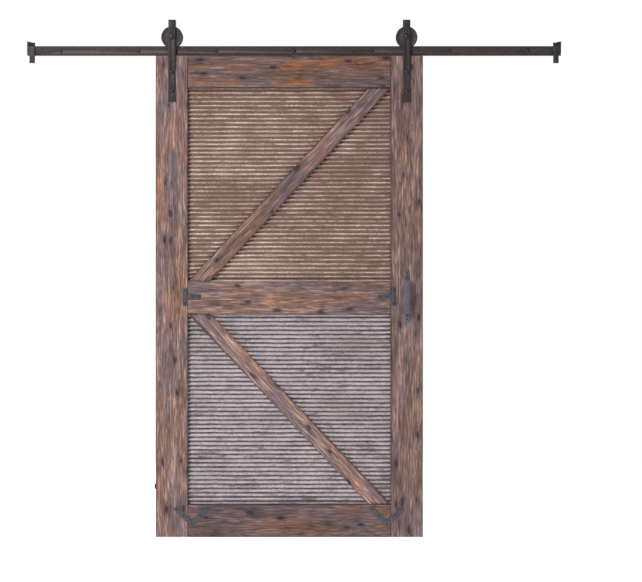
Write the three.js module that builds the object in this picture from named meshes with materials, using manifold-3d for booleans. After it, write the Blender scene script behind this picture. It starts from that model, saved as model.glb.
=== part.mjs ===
// Sliding barn door: flat rail on wall spacers, two strap hangers with grooved wheels, and the
// framed wooden door with corrugated metal panels that they carry.
//
// Millimetres. +X runs along the rail to the right, +Z is up and -Y is the front. The origin is on
// the wall plane, at the middle of the rail's length and height.

import * as THREE from 'three';
import { mergeVertices } from 'three/addons/utils/BufferGeometryUtils.js';
import Module from 'manifold-3d';

const wasm = await Module();
wasm.setup();

// ---------------------------------------------------------------- driving dimensions

const INCH = 25.4;
const GAP = 0.3; // clearance between pieces that touch
const HOLE_GAP = 0.3; // radial clearance of a bolt in its hole

// Rail and its fasteners
const RAIL_LENGTH = 96 * INCH;
const RAIL_HEIGHT = 44;
const RAIL_THICKNESS = 6;
const RAIL_BACK_Y = -35; // the spacers' length
const RAIL_FRONT_Y = RAIL_BACK_Y - RAIL_THICKNESS;
const BOLT_COUNT = 7;
const BOLT_PITCH = 14 * INCH;
const SPACER_RADIUS = 10;
const LAG_SHANK_RADIUS = 5;
const LAG_HEAD_RADIUS = 9;
const LAG_HEAD_HEIGHT = 6;
const LAG_REACH = 60; // how far the shank goes into the wall

// Wheels
const WHEEL_RADIUS = 49.5;
const AXLE_Z = 62;
const GROOVE_RADIUS = AXLE_Z - RAIL_HEIGHT / 2 - 0.2; // the groove's root rides on the rail's top edge
const WHEEL_HALF_WIDTH = 12;
const WHEEL_PLANE_Y = RAIL_BACK_Y - RAIL_THICKNESS / 2;
const WHEEL_INSET = 74; // from the door's edge to the hanger's centre line
const BEARING_RADIUS = 17;
const BEARING_HALF_WIDTH = 8;
const RACE_RADIUS = 10; // the inner race, which stands out to both strap legs
const AXLE_RADIUS = 6;
const AXLE_HEAD = { radius: 14, height: 5 };
const AXLE_NUT = { radius: 11, thickness: 9, proud: 2 }; // proud: the bolt's end beyond the nut

// Hanger straps
const STRAP_WIDTH = 33;
const STRAP_THICKNESS = 6;
const STRAP_TOP_Z = 142;
const STRAP_FRONT_END_Z = -233;
const STRAP_REAR_END_Z = 40;
const STRAP_BEND_RADIUS = 12;
const STRAP_BOLT_Z = [-100, -186];
const STRAP_BOLT_RADIUS = 5;
const STRAP_BOLT_HEAD = { radius: 9, height: 5 };
const STRAP_NUT = { radius: 9, thickness: 7, proud: 1.5 };

// Door frame
const DOOR_WIDTH = 48 * INCH;
const DOOR_CENTRE_X = -21.6; // the door hangs a little left of the rail's middle
const DOOR_TOP_Z = -24;
const DOOR_BOTTOM_Z = -2220;
const DOOR_FRONT_Y = -52;
const DOOR_THICKNESS = 38;
const STILE_WIDTH = 147;
const TOP_RAIL_HEIGHT = 146;
const MID_RAIL_TOP_Z = -1052;
const MID_RAIL_HEIGHT = 150;
const BOTTOM_RAIL_HEIGHT = 150;
const TENON_LENGTH = 60;
const TENON_THICKNESS = 12;
const TENON_SHOULDER = 20;

// Braces, corrugated sheets and the battens behind them
const BRACE_END_WIDTH = 102.5; // along the rail that the brace's end stands on
const BRACE_RECESS = 6;
const BRACE_THICKNESS = 12;
const WAVE_PITCH = 19.6;
const WAVE_HEIGHT = 5.4;
const WAVE_STEPS = 4;
const SHEET_THICKNESS = 1.2;
const SHEET_MID_Y = -30.6;
const BATTEN_WIDTH = 20;
const BATTEN_THICKNESS = 12;

// Plates, brackets and handle on the door's face
const PLATE_THICKNESS = 3;
const T_PLATE = { bar: 21, height: 81, leg: 63, legHeight: 22, edge: 3.5, z: -1124 };
const CORNER = { arm: 118, width: 22, inset: 17, z: -2176 };
const HANDLE = { length: 235, grip: 155, width: 28, foot: 4, bar: 5, standoff: 33, z: -1121 };
const STUD = { radius: 12, proud: 7, z: -1990 };

// End stops, measured inward from the rail's end
const STOP = {
  length: 36,
  bottomZ: -22.7, // clear of the door's top edge, which passes below
  cornerRadius: 16,
  lugLength: 18,
  lugTopZ: 41,
  peakZ: 45,
  plate: 6,
  jawBottomZ: -16,
  jawCornerRadius: 4,
  bridgeTopZ: 27,
  boltInset: 9,
  boltZ: 32.5,
  boltRadius: 4,
  headRadius: 8.4,
  headHeight: 7,
  socketRadius: 3.8,
  socketDepth: 4,
  boltEnd: 10, // the bolt's reach behind the rear jaw
  nutRadius: 7.5,
  nutThickness: 6,
  tabStart: 12.5,
  tabEnd: 37,
  tabTopZ: -12,
  tabBottomZ: -57.5,
  tabClearance: 1.3, // the door's top passes behind the tab
};
const BUMPER = { reach: 35, halfWidth: 9, topZ: 38, tongueStart: 3 };

// ---------------------------------------------------------------- derived positions

const HALF_RAIL = RAIL_LENGTH / 2;
const DOOR_LEFT = DOOR_CENTRE_X - DOOR_WIDTH / 2;
const DOOR_RIGHT = DOOR_CENTRE_X + DOOR_WIDTH / 2;
const DOOR_BACK_Y = DOOR_FRONT_Y + DOOR_THICKNESS;
const TENON_FRONT_Y = (DOOR_FRONT_Y + DOOR_BACK_Y - TENON_THICKNESS) / 2;
const OPENING_LEFT = DOOR_LEFT + STILE_WIDTH;
const OPENING_RIGHT = DOOR_RIGHT - STILE_WIDTH;
const FACE_Y = DOOR_FRONT_Y - GAP; // where plates, straps and the handle's feet lie
const STRAP_BACK_Y = 2 * WHEEL_PLANE_Y - FACE_Y; // inner face of the strap's rear leg
const HANGER_X = { left: DOOR_LEFT + WHEEL_INSET, right: DOOR_RIGHT - WHEEL_INSET };
const RAIL_BANDS = {
  top_rail: [DOOR_TOP_Z - TOP_RAIL_HEIGHT, DOOR_TOP_Z],
  mid_rail: [MID_RAIL_TOP_Z - MID_RAIL_HEIGHT, MID_RAIL_TOP_Z],
  bottom_rail: [DOOR_BOTTOM_Z, DOOR_BOTTOM_Z + BOTTOM_RAIL_HEIGHT],
};
const OPENINGS = {
  upper: { bottom: RAIL_BANDS.mid_rail[1], top: RAIL_BANDS.top_rail[0] },
  lower: { bottom: RAIL_BANDS.bottom_rail[1], top: RAIL_BANDS.mid_rail[0] },
};

// ---------------------------------------------------------------- materials

const paint = (color, roughness, metalness) =>
  new THREE.MeshStandardMaterial({ color, roughness, metalness });

const finishes = {
  rail: () => paint(0x554c4b, 0.6, 0.7),
  blackened: () => paint(0x3f3b3b, 0.6, 0.7),
  wheel: () => paint(0x524a48, 0.65, 0.7),
  zinc: () => paint(0x8b8d90, 0.45, 0.9),
  bearing: () => paint(0xb4b6b8, 0.3, 1),
  rubber: () => paint(0x1c1b1b, 0.85, 0),
  wood: () => paint(0x83675a, 0.8, 0),
  batten: () => paint(0x94806d, 0.85, 0),
  sheet: () => paint(0xb3a69c, 0.5, 0.8),
  plate: () => paint(0x62666d, 0.5, 0.8),
};

// ---------------------------------------------------------------- geometry helpers

/** Closed outline through [across, up] points. */
function outline(points) {
  return new THREE.Shape(points.map(([across, up]) => new THREE.Vector2(across, up)));
}

function rectangle(left, right, bottom, top) {
  return outline([[left, bottom], [right, bottom], [right, top], [left, top]]);
}

function circle(x, z, radius) {
  return new THREE.Path().absarc(x, z, radius, 0, 2 * Math.PI, false);
}

/** Solid with an outline drawn in X and Z, from a front plane to a back plane. */
function frontProfile(shape, frontY, backY) {
  const settings = { depth: backY - frontY, bevelEnabled: false, curveSegments: 8 };
  const geometry = new THREE.ExtrudeGeometry(shape, settings);
  return geometry.rotateX(Math.PI / 2).translate(0, backY, 0);
}

/** Solid with an outline drawn in Y and Z, from a left plane to a right plane. */
function sideProfile(shape, leftX, rightX) {
  const settings = { depth: rightX - leftX, bevelEnabled: false, curveSegments: 6 };
  const geometry = new THREE.ExtrudeGeometry(shape, settings);
  const turn = new THREE.Matrix4().set(0, 0, 1, leftX, 1, 0, 0, 0, 0, 1, 0, 0, 0, 0, 0, 1);
  return geometry.applyMatrix4(turn);
}

/** Round solid about a line along Y, from [radius, y] points listed front to back. */
function turned(points, segments) {
  return new THREE.LatheGeometry(points.map(([r, y]) => new THREE.Vector2(r, y)), segments);
}

function box(left, right, frontY, backY, bottom, top) {
  return frontProfile(rectangle(left, right, bottom, top), frontY, backY);
}

/** Round tool about a line along Y. */
function drill(x, z, radius, frontY, backY) {
  return frontProfile(new THREE.Shape(circle(x, z, radius).getPoints(8)), frontY, backY);
}

function toSolid(geometry) {
  const bare = geometry.clone();
  bare.deleteAttribute('normal');
  bare.deleteAttribute('uv');
  const merged = mergeVertices(bare, 1e-4);
  return new wasm.Manifold(new wasm.Mesh({
    numProp: 3,
    vertProperties: new Float32Array(merged.attributes.position.array),
    triVerts: new Uint32Array(merged.index.array),
  }));
}

function toGeometry(solid) {
  const mesh = solid.getMesh();
  const geometry = new THREE.BufferGeometry();
  geometry.setAttribute('position', new THREE.BufferAttribute(mesh.vertProperties, 3));
  geometry.setIndex(new THREE.BufferAttribute(mesh.triVerts, 1));
  geometry.computeVertexNormals();
  return geometry;
}

function join(geometries) {
  return toGeometry(geometries.map(toSolid).reduce((whole, piece) => whole.add(piece)));
}

function cut(geometry, tools) {
  return toGeometry(tools.map(toSolid).reduce((whole, tool) => whole.subtract(tool), toSolid(geometry)));
}

const assembly = new THREE.Group();

function addPart(name, geometry, material, x = 0, y = 0, z = 0) {
  const mesh = new THREE.Mesh(geometry, material);
  mesh.name = name;
  mesh.position.set(x, y, z);
  assembly.add(mesh);
}

// ---------------------------------------------------------------- rail, spacers and lag bolts

const boltXs = Array.from({ length: BOLT_COUNT }, (_, i) => (i - (BOLT_COUNT - 1) / 2) * BOLT_PITCH);

function railGeometry() {
  const shape = rectangle(-HALF_RAIL, HALF_RAIL, -RAIL_HEIGHT / 2, RAIL_HEIGHT / 2);
  for (const x of boltXs) {
    shape.holes.push(circle(x, 0, LAG_SHANK_RADIUS + HOLE_GAP));
  }
  return frontProfile(shape, RAIL_FRONT_Y, RAIL_BACK_Y);
}

/** Sleeve whose back ring lies on the wall plane. */
function spacerGeometry() {
  const bore = LAG_SHANK_RADIUS + HOLE_GAP;
  const front = RAIL_BACK_Y + GAP;
  return turned([[bore, front], [SPACER_RADIUS, front], [SPACER_RADIUS, 0], [bore, 0], [bore, front]], 16);
}

/** Domed head of a bolt whose flat underside is at seatY, as profile points from its front. */
function domedHead(radius, height, seatY) {
  const points = [];
  const steps = 3;
  for (let i = 0; i < steps; i += 1) {
    const angle = (i / steps) * (Math.PI / 2);
    points.push([radius * Math.sin(angle), seatY - height * (0.25 + 0.75 * Math.cos(angle))]);
  }
  points.push([radius, seatY - height * 0.25], [radius, seatY]);
  return points;
}

function lagBoltGeometry() {
  const seat = RAIL_FRONT_Y - GAP;
  const shank = [[LAG_SHANK_RADIUS, seat], [LAG_SHANK_RADIUS, LAG_REACH - 9], [0, LAG_REACH]];
  return turned([...domedHead(LAG_HEAD_RADIUS, LAG_HEAD_HEIGHT, seat), ...shank], 12);
}

addPart('track_rail', railGeometry(), finishes.rail());
boltXs.forEach((x, i) => {
  addPart(`wall_spacer_${i + 1}`, spacerGeometry(), finishes.blackened(), x);
  addPart(`lag_bolt_${i + 1}`, lagBoltGeometry(), finishes.blackened(), x);
});

// ---------------------------------------------------------------- end stops

/** Hexagonal nut about a line along Y, threaded on a bolt of the given radius. */
function nutGeometry(radius, boltRadius, frontY, thickness) {
  const corners = Array.from({ length: 6 }, (_, i) => {
    const angle = (i + 0.5) * (Math.PI / 3);
    return [radius * Math.cos(angle), radius * Math.sin(angle)];
  });
  const shape = outline(corners);
  shape.holes.push(circle(0, 0, boltRadius + HOLE_GAP));
  return frontProfile(shape, frontY, frontY + thickness);
}

const STOP_FRONT_Y = RAIL_FRONT_Y - GAP - STOP.plate; // front face of the stop's plate
const STOP_BACK_Y = RAIL_BACK_Y + GAP + STOP.plate; // back face of the stop's rear jaw

/** Jaw seen from the front: full length beside the rail, and a lug with a peaked outer corner above. */
function jawOutline(at, bottomZ, cornerRadius) {
  const top = RAIL_HEIGHT / 2;
  const points = [
    [at(STOP.length), bottomZ],
    [at(STOP.length), top],
    [at(STOP.lugLength), top],
    [at(STOP.lugLength), STOP.lugTopZ],
    [at(STOP.lugLength / 3), STOP.lugTopZ],
    [at(0), STOP.peakZ],
  ];
  const turns = 6;
  for (let i = 0; i <= turns; i += 1) {
    const angle = (i / turns) * (Math.PI / 2);
    const inset = cornerRadius * (1 - Math.cos(angle));
    points.push([at(inset), bottomZ + cornerRadius * (1 - Math.sin(angle))]);
  }
  const shape = outline(points);
  shape.holes.push(circle(at(STOP.boltInset), STOP.boltZ, STOP.boltRadius + HOLE_GAP));
  return shape;
}

/** Left and right X of the stretch between two distances inward from the rail's end. */
function span(at, near, far) {
  return [Math.min(at(near), at(far)), Math.max(at(near), at(far))];
}

function endStopGeometry(at) {
  const tab = span(at, STOP.tabStart, STOP.tabEnd);
  const tabBackY = DOOR_FRONT_Y - STOP.tabClearance;
  const overlap = 1;
  const plateShape = jawOutline(at, STOP.bottomZ, STOP.cornerRadius);
  const plate = frontProfile(plateShape, STOP_FRONT_Y, RAIL_FRONT_Y - GAP);
  const jawShape = jawOutline(at, STOP.jawBottomZ, STOP.jawCornerRadius);
  const jaw = frontProfile(jawShape, RAIL_BACK_Y + GAP, STOP_BACK_Y);
  const bridge = box(...span(at, 0, STOP.lugLength), STOP_FRONT_Y + overlap, STOP_BACK_Y - overlap,
    RAIL_HEIGHT / 2 + GAP, STOP.bridgeTopZ);
  const step = box(...tab, tabBackY - overlap, STOP_FRONT_Y + overlap, STOP.bottomZ + overlap, STOP.tabTopZ);
  const tongue = box(...tab, tabBackY - STOP.plate, tabBackY, STOP.tabBottomZ, STOP.tabTopZ);
  return join([plate, jaw, bridge, step, tongue]);
}

/** Rubber block that stands on the rail, with a tongue clamped between the stop's lugs. */
function bumperGeometry(at) {
  const bottom = RAIL_HEIGHT / 2 + GAP;
  const block = box(...span(at, STOP.lugLength + GAP, BUMPER.reach), WHEEL_PLANE_Y - BUMPER.halfWidth,
    WHEEL_PLANE_Y + BUMPER.halfWidth, bottom, BUMPER.topZ);
  const tongue = box(...span(at, BUMPER.tongueStart, STOP.lugLength + 1), RAIL_FRONT_Y, RAIL_BACK_Y,
    STOP.bridgeTopZ + GAP, BUMPER.topZ);
  const holeX = at(STOP.boltInset);
  const hole = drill(holeX, STOP.boltZ, STOP.boltRadius + HOLE_GAP, RAIL_FRONT_Y - 1, RAIL_BACK_Y + 1);
  return cut(join([block, tongue]), [hole]);
}

/** Cap screw with a round socketed head in front of the stop's plate. */
function stopBoltGeometry() {
  const { boltRadius, headRadius, socketRadius } = STOP;
  const seat = STOP_FRONT_Y - GAP;
  const front = seat - STOP.headHeight;
  const floor = front + STOP.socketDepth;
  const end = STOP_BACK_Y + STOP.boltEnd;
  const chamfer = 1;
  return turned([
    [0, floor], [socketRadius, floor], [socketRadius, front], [headRadius - chamfer, front],
    [headRadius, front + chamfer], [headRadius, seat], [boltRadius, seat], [boltRadius, end], [0, end],
  ], 16);
}

for (const [side, sign] of [['left', -1], ['right', 1]]) {
  const at = (inward) => sign * (HALF_RAIL - inward);
  const boltX = at(STOP.boltInset);
  addPart(`end_stop_${side}`, endStopGeometry(at), finishes.wheel());
  addPart(`stop_bumper_${side}`, bumperGeometry(at), finishes.rubber());
  addPart(`stop_bolt_${side}`, stopBoltGeometry(), finishes.blackened(), boltX, 0, STOP.boltZ);
  const nut = nutGeometry(STOP.nutRadius, STOP.boltRadius, STOP_BACK_Y + GAP, STOP.nutThickness);
  addPart(`stop_nut_${side}`, nut, finishes.blackened(), boltX, 0, STOP.boltZ);
}

// ---------------------------------------------------------------- door frame

/** Upright board with bolt holes and open mortises for the three tenons. */
function stileGeometry(left, right, hangerX, mortiseSide) {
  const shape = rectangle(left, right, DOOR_BOTTOM_Z, DOOR_TOP_Z);
  for (const z of STRAP_BOLT_Z) {
    shape.holes.push(circle(hangerX, z, STRAP_BOLT_RADIUS + HOLE_GAP));
  }
  const inner = mortiseSide > 0 ? right : left;
  const reach = inner - mortiseSide * (TENON_LENGTH + GAP);
  const mortises = Object.values(RAIL_BANDS).map(([bottom, top]) => box(
    Math.min(reach, inner + mortiseSide), Math.max(reach, inner + mortiseSide),
    TENON_FRONT_Y - GAP, TENON_FRONT_Y + TENON_THICKNESS + GAP,
    bottom + TENON_SHOULDER - GAP, top - TENON_SHOULDER + GAP));
  return cut(frontProfile(shape, DOOR_FRONT_Y, DOOR_BACK_Y), mortises);
}

/** Cross board between the stiles with a tenon at each end. */
function railBoardGeometry(bottom, top) {
  const board = box(OPENING_LEFT + GAP, OPENING_RIGHT - GAP, DOOR_FRONT_Y, DOOR_BACK_Y, bottom, top);
  const tenons = box(OPENING_LEFT - TENON_LENGTH, OPENING_RIGHT + TENON_LENGTH,
    TENON_FRONT_Y, TENON_FRONT_Y + TENON_THICKNESS, bottom + TENON_SHOULDER, top - TENON_SHOULDER);
  return join([board, tenons]);
}

/** Slanted board between opposite corners of an opening; rise is 1 or -1 from left to right. */
function braceGeometry({ bottom, top }, rise) {
  const left = OPENING_LEFT + GAP;
  const right = OPENING_RIGHT - GAP;
  const low = bottom + GAP;
  const high = top - GAP;
  const [leftZ, rightZ] = rise > 0 ? [low, high] : [high, low];
  const shape = outline([
    [left, leftZ], [left + BRACE_END_WIDTH, leftZ], [right, rightZ], [right - BRACE_END_WIDTH, rightZ],
  ]);
  const front = DOOR_FRONT_Y + BRACE_RECESS;
  return frontProfile(shape, front, front + BRACE_THICKNESS);
}

/** Corrugated sheet with level ridges that fills an opening. */
function sheetGeometry({ bottom, top }) {
  const low = bottom + 1;
  const high = top - 1;
  const steps = Math.round(((high - low) / WAVE_PITCH) * WAVE_STEPS);
  const front = [];
  for (let i = 0; i <= steps; i += 1) {
    const z = low + ((high - low) * i) / steps;
    const y = SHEET_MID_Y - (WAVE_HEIGHT / 2) * Math.cos((2 * Math.PI * i) / WAVE_STEPS);
    front.push([y, z]);
  }
  const back = front.map(([y, z]) => [y + SHEET_THICKNESS, z]).reverse();
  return sideProfile(outline([...front, ...back]), OPENING_LEFT + 0.5, OPENING_RIGHT - 0.5);
}

addPart('left_stile', stileGeometry(DOOR_LEFT, OPENING_LEFT, HANGER_X.left, 1), finishes.wood());
addPart('right_stile', stileGeometry(OPENING_RIGHT, DOOR_RIGHT, HANGER_X.right, -1), finishes.wood());
for (const [name, [bottom, top]] of Object.entries(RAIL_BANDS)) {
  addPart(name, railBoardGeometry(bottom, top), finishes.wood());
}
for (const [level, opening] of Object.entries(OPENINGS)) {
  const battenFront = DOOR_BACK_Y - GAP - BATTEN_THICKNESS;
  const [low, high] = [opening.bottom + GAP, opening.top - GAP];
  addPart(`${level}_brace`, braceGeometry(opening, level === 'upper' ? 1 : -1), finishes.wood());
  addPart(`${level}_sheet`, sheetGeometry(opening), finishes.sheet());
  addPart(`${level}_batten_left`, box(OPENING_LEFT + GAP, OPENING_LEFT + BATTEN_WIDTH,
    battenFront, DOOR_BACK_Y - GAP, low, high), finishes.batten());
  addPart(`${level}_batten_right`, box(OPENING_RIGHT - BATTEN_WIDTH, OPENING_RIGHT - GAP,
    battenFront, DOOR_BACK_Y - GAP, low, high), finishes.batten());
}

// ---------------------------------------------------------------- plates, brackets, handle, stud

/** T-shaped plate: an upright bar on the stile and a leg that reaches over the middle rail. */
function tPlateGeometry(edgeX, inward) {
  const bar = edgeX - inward * T_PLATE.edge;
  const outer = bar - inward * T_PLATE.bar;
  const tip = bar + inward * T_PLATE.leg;
  const [halfBar, halfLeg] = [T_PLATE.height / 2, T_PLATE.legHeight / 2];
  const shape = outline([
    [outer, T_PLATE.z - halfBar], [bar, T_PLATE.z - halfBar], [bar, T_PLATE.z - halfLeg],
    [tip, T_PLATE.z - halfLeg], [tip, T_PLATE.z + halfLeg], [bar, T_PLATE.z + halfLeg],
    [bar, T_PLATE.z + halfBar], [outer, T_PLATE.z + halfBar],
  ]);
  return frontProfile(shape, FACE_Y - PLATE_THICKNESS, FACE_Y);
}

/** Right-angled bracket standing on its corner, one arm on the stile and one on the bottom rail. */
function cornerBracketGeometry() {
  const { arm, width } = CORNER;
  const shape = outline([[0, 0], [arm, 0], [arm, width], [width, width], [width, arm], [0, arm]]);
  return frontProfile(shape, FACE_Y - PLATE_THICKNESS, FACE_Y).rotateY(-Math.PI / 4);
}

/** Bent flat bar: two feet on the door and a grip that stands off between them. */
function handleGeometry() {
  const gripBack = FACE_Y - HANDLE.standoff;
  const gripFront = gripBack - HANDLE.bar;
  const footFront = FACE_Y - HANDLE.foot;
  const [half, grip] = [HANDLE.length / 2, HANDLE.grip / 2];
  const upper = [
    [FACE_Y, half], [FACE_Y, grip - HANDLE.foot], [gripBack, grip - HANDLE.bar],
  ];
  const outer = [[gripFront, grip], [footFront, grip], [footFront, half]];
  const mirrored = (points) => points.map(([y, z]) => [y, -z]).reverse();
  const shape = outline([...upper, ...mirrored(upper), ...mirrored(outer), ...outer]);
  return sideProfile(shape, -HANDLE.width / 2, HANDLE.width / 2);
}

/** Round rubber stud with its axis along X, on the door's left edge. */
function studGeometry() {
  const { radius, proud } = STUD;
  const profile = [[0, 0], [radius * 0.6, 0], [radius, proud * 0.5], [radius, proud], [0, proud]];
  return turned(profile, 20).rotateZ(-Math.PI / 2);
}

for (const [side, edgeX, inward] of [['left', OPENING_LEFT, 1], ['right', OPENING_RIGHT, -1]]) {
  const cornerX = edgeX + inward * CORNER.inset;
  addPart(`t_plate_${side}`, tPlateGeometry(edgeX, inward), finishes.plate());
  addPart(`corner_bracket_${side}`, cornerBracketGeometry(), finishes.plate(), cornerX, 0, CORNER.z);
}
addPart('pull_handle', handleGeometry(), finishes.plate(), HANGER_X.right, 0, HANDLE.z);
addPart('edge_stud', studGeometry(), finishes.rubber(),
  DOOR_LEFT - GAP - STUD.proud, (DOOR_FRONT_Y + DOOR_BACK_Y) / 2, STUD.z);

// ---------------------------------------------------------------- hangers and wheels

/** Flat strap folded over the wheel: long leg on the door's face, short leg behind the wheel. */
function strapGeometry() {
  const outerFront = FACE_Y - STRAP_THICKNESS;
  const outerBack = STRAP_BACK_Y + STRAP_THICKNESS;
  const inner = STRAP_BEND_RADIUS - STRAP_THICKNESS;
  const topInner = STRAP_TOP_Z - STRAP_THICKNESS;
  const shape = new THREE.Shape();
  shape.moveTo(FACE_Y, STRAP_FRONT_END_Z);
  shape.lineTo(FACE_Y, topInner - inner);
  shape.absarc(FACE_Y + inner, topInner - inner, inner, Math.PI, Math.PI / 2, true);
  shape.lineTo(STRAP_BACK_Y - inner, topInner);
  shape.absarc(STRAP_BACK_Y - inner, topInner - inner, inner, Math.PI / 2, 0, true);
  shape.lineTo(STRAP_BACK_Y, STRAP_REAR_END_Z);
  shape.lineTo(outerBack, STRAP_REAR_END_Z);
  shape.lineTo(outerBack, STRAP_TOP_Z - STRAP_BEND_RADIUS);
  shape.absarc(outerBack - STRAP_BEND_RADIUS, STRAP_TOP_Z - STRAP_BEND_RADIUS, STRAP_BEND_RADIUS,
    0, Math.PI / 2, false);
  shape.lineTo(outerFront + STRAP_BEND_RADIUS, STRAP_TOP_Z);
  shape.absarc(outerFront + STRAP_BEND_RADIUS, STRAP_TOP_Z - STRAP_BEND_RADIUS, STRAP_BEND_RADIUS,
    Math.PI / 2, Math.PI, false);
  shape.lineTo(outerFront, STRAP_FRONT_END_Z);
  const hole = (radius, z) => drill(0, z, radius + HOLE_GAP, outerFront - 5, outerBack + 5);
  const holes = [hole(AXLE_RADIUS, AXLE_Z), ...STRAP_BOLT_Z.map((z) => hole(STRAP_BOLT_RADIUS, z))];
  return cut(sideProfile(shape, -STRAP_WIDTH / 2, STRAP_WIDTH / 2), holes);
}

/** Disc with a groove that straddles the rail and a bore for its bearing. */
function wheelGeometry() {
  const half = WHEEL_HALF_WIDTH;
  const bore = BEARING_RADIUS + GAP;
  const chamfer = 1.5;
  const grooveHalf = RAIL_THICKNESS / 2 + 1;
  const lipHalf = grooveHalf + 4.5;
  return turned([
    [bore, -half], [WHEEL_RADIUS - chamfer, -half], [WHEEL_RADIUS, chamfer - half], [WHEEL_RADIUS, -lipHalf],
    [GROOVE_RADIUS, -grooveHalf], [GROOVE_RADIUS, grooveHalf],
    [WHEEL_RADIUS, lipHalf], [WHEEL_RADIUS, half - chamfer], [WHEEL_RADIUS - chamfer, half], [bore, half],
    [bore, -half],
  ], 48);
}

/** Ring bearing whose long inner race keeps the wheel clear of both strap legs. */
function bearingGeometry() {
  const bore = AXLE_RADIUS + GAP;
  const half = BEARING_HALF_WIDTH;
  const raceHalf = (STRAP_BACK_Y - FACE_Y) / 2 - GAP;
  return turned([
    [bore, -raceHalf], [RACE_RADIUS, -raceHalf], [RACE_RADIUS, -half], [BEARING_RADIUS, -half],
    [BEARING_RADIUS, half], [RACE_RADIUS, half], [RACE_RADIUS, raceHalf], [bore, raceHalf], [bore, -raceHalf],
  ], 24);
}

/** Bolt along Y with a low domed head on the strap's front, through a nut behind. */
function throughBolt(radius, head, nut, nutY) {
  const seat = FACE_Y - STRAP_THICKNESS - GAP;
  const end = nutY + nut.thickness + nut.proud;
  return turned([...domedHead(head.radius, head.height, seat), [radius, seat], [radius, end], [0, end]], 16);
}

const AXLE_NUT_Y = STRAP_BACK_Y + STRAP_THICKNESS + GAP;
const STRAP_NUT_Y = DOOR_BACK_Y + GAP;

for (const [side, x] of Object.entries(HANGER_X)) {
  const bolt = throughBolt(AXLE_RADIUS, AXLE_HEAD, AXLE_NUT, AXLE_NUT_Y);
  const nut = nutGeometry(AXLE_NUT.radius, AXLE_RADIUS, AXLE_NUT_Y, AXLE_NUT.thickness);
  addPart(`hanger_strap_${side}`, strapGeometry(), finishes.blackened(), x);
  addPart(`axle_bolt_${side}`, bolt, finishes.blackened(), x, 0, AXLE_Z);
  addPart(`axle_nut_${side}`, nut, finishes.zinc(), x, 0, AXLE_Z);
  addPart(`wheel_${side}`, wheelGeometry(), finishes.wheel(), x, WHEEL_PLANE_Y, AXLE_Z);
  addPart(`wheel_bearing_${side}`, bearingGeometry(), finishes.bearing(), x, WHEEL_PLANE_Y, AXLE_Z);
}

Object.values(HANGER_X).flatMap((x) => STRAP_BOLT_Z.map((z) => [x, z])).forEach(([x, z], i) => {
  const bolt = throughBolt(STRAP_BOLT_RADIUS, STRAP_BOLT_HEAD, STRAP_NUT, STRAP_NUT_Y);
  const nut = nutGeometry(STRAP_NUT.radius, STRAP_BOLT_RADIUS, STRAP_NUT_Y, STRAP_NUT.thickness);
  addPart(`strap_bolt_${i + 1}`, bolt, finishes.blackened(), x, 0, z);
  addPart(`strap_nut_${i + 1}`, nut, finishes.zinc(), x, 0, z);
});

export default assembly;
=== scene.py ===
"""Sliding barn door: worn boards and corrugated panels on strap hangers, wheels and a flat rail.

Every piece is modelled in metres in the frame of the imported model: +X along the rail, +Z up and
the front towards -Y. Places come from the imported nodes' boxes, and each piece rides on its body.
"""

import logging
import math
from collections.abc import Callable, Sequence
from dataclasses import dataclass, field
from enum import Enum

import bmesh
import bpy
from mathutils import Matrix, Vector


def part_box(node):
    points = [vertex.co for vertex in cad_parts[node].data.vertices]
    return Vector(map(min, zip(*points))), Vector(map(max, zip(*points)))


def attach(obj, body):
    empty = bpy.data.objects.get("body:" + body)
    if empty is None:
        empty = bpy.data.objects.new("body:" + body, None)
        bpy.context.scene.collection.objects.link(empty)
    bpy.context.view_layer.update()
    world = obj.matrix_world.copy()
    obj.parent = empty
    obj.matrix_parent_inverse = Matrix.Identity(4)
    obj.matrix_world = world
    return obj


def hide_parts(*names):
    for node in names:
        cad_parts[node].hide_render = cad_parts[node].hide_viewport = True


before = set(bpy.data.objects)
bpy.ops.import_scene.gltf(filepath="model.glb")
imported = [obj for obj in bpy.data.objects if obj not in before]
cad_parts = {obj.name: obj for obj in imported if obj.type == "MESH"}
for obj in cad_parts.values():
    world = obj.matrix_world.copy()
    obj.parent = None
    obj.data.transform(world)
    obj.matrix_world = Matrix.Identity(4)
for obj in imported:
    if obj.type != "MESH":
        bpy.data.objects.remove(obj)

log = logging.getLogger("barn_door")
logging.basicConfig(level=logging.INFO, format="%(message)s")

MM = 0.001
SLACK = 0.3 * MM
DRILL_LENGTH = 100 * MM
Colour = tuple[float, float, float]
ALONG = Vector((1, 0, 0))
BACKWARD = Vector((0, 1, 0))
UP = Vector((0, 0, 1))


class Side(Enum):
    """The two ends of the rail; the value is the direction of that end along X."""

    LEFT = -1
    RIGHT = 1

    @property
    def label(self) -> str:
        """The side's name as the nodes use it."""
        return self.name.lower()


class Body(Enum):
    """The bodies that the pieces ride on."""

    TRACK = "track"
    DOOR = "door"
    WHEEL_LEFT = "wheel_left"
    WHEEL_RIGHT = "wheel_right"


class Grain(Enum):
    """The angle of a board's grain above +X, in degrees."""

    LEVEL = 0
    UPRIGHT = 90
    RISING = 47
    FALLING = -47


def tone(red: int, green: int, blue: int) -> Colour:
    """A linear colour from everyday values between 0 and 255."""
    shares = (value / 255 for value in (red, green, blue))
    return tuple(s / 12.92 if s <= 0.04045 else ((s + 0.055) / 1.055) ** 2.4 for s in shares)


# ------------------------------------------------------------------------------------ shader tools


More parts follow.
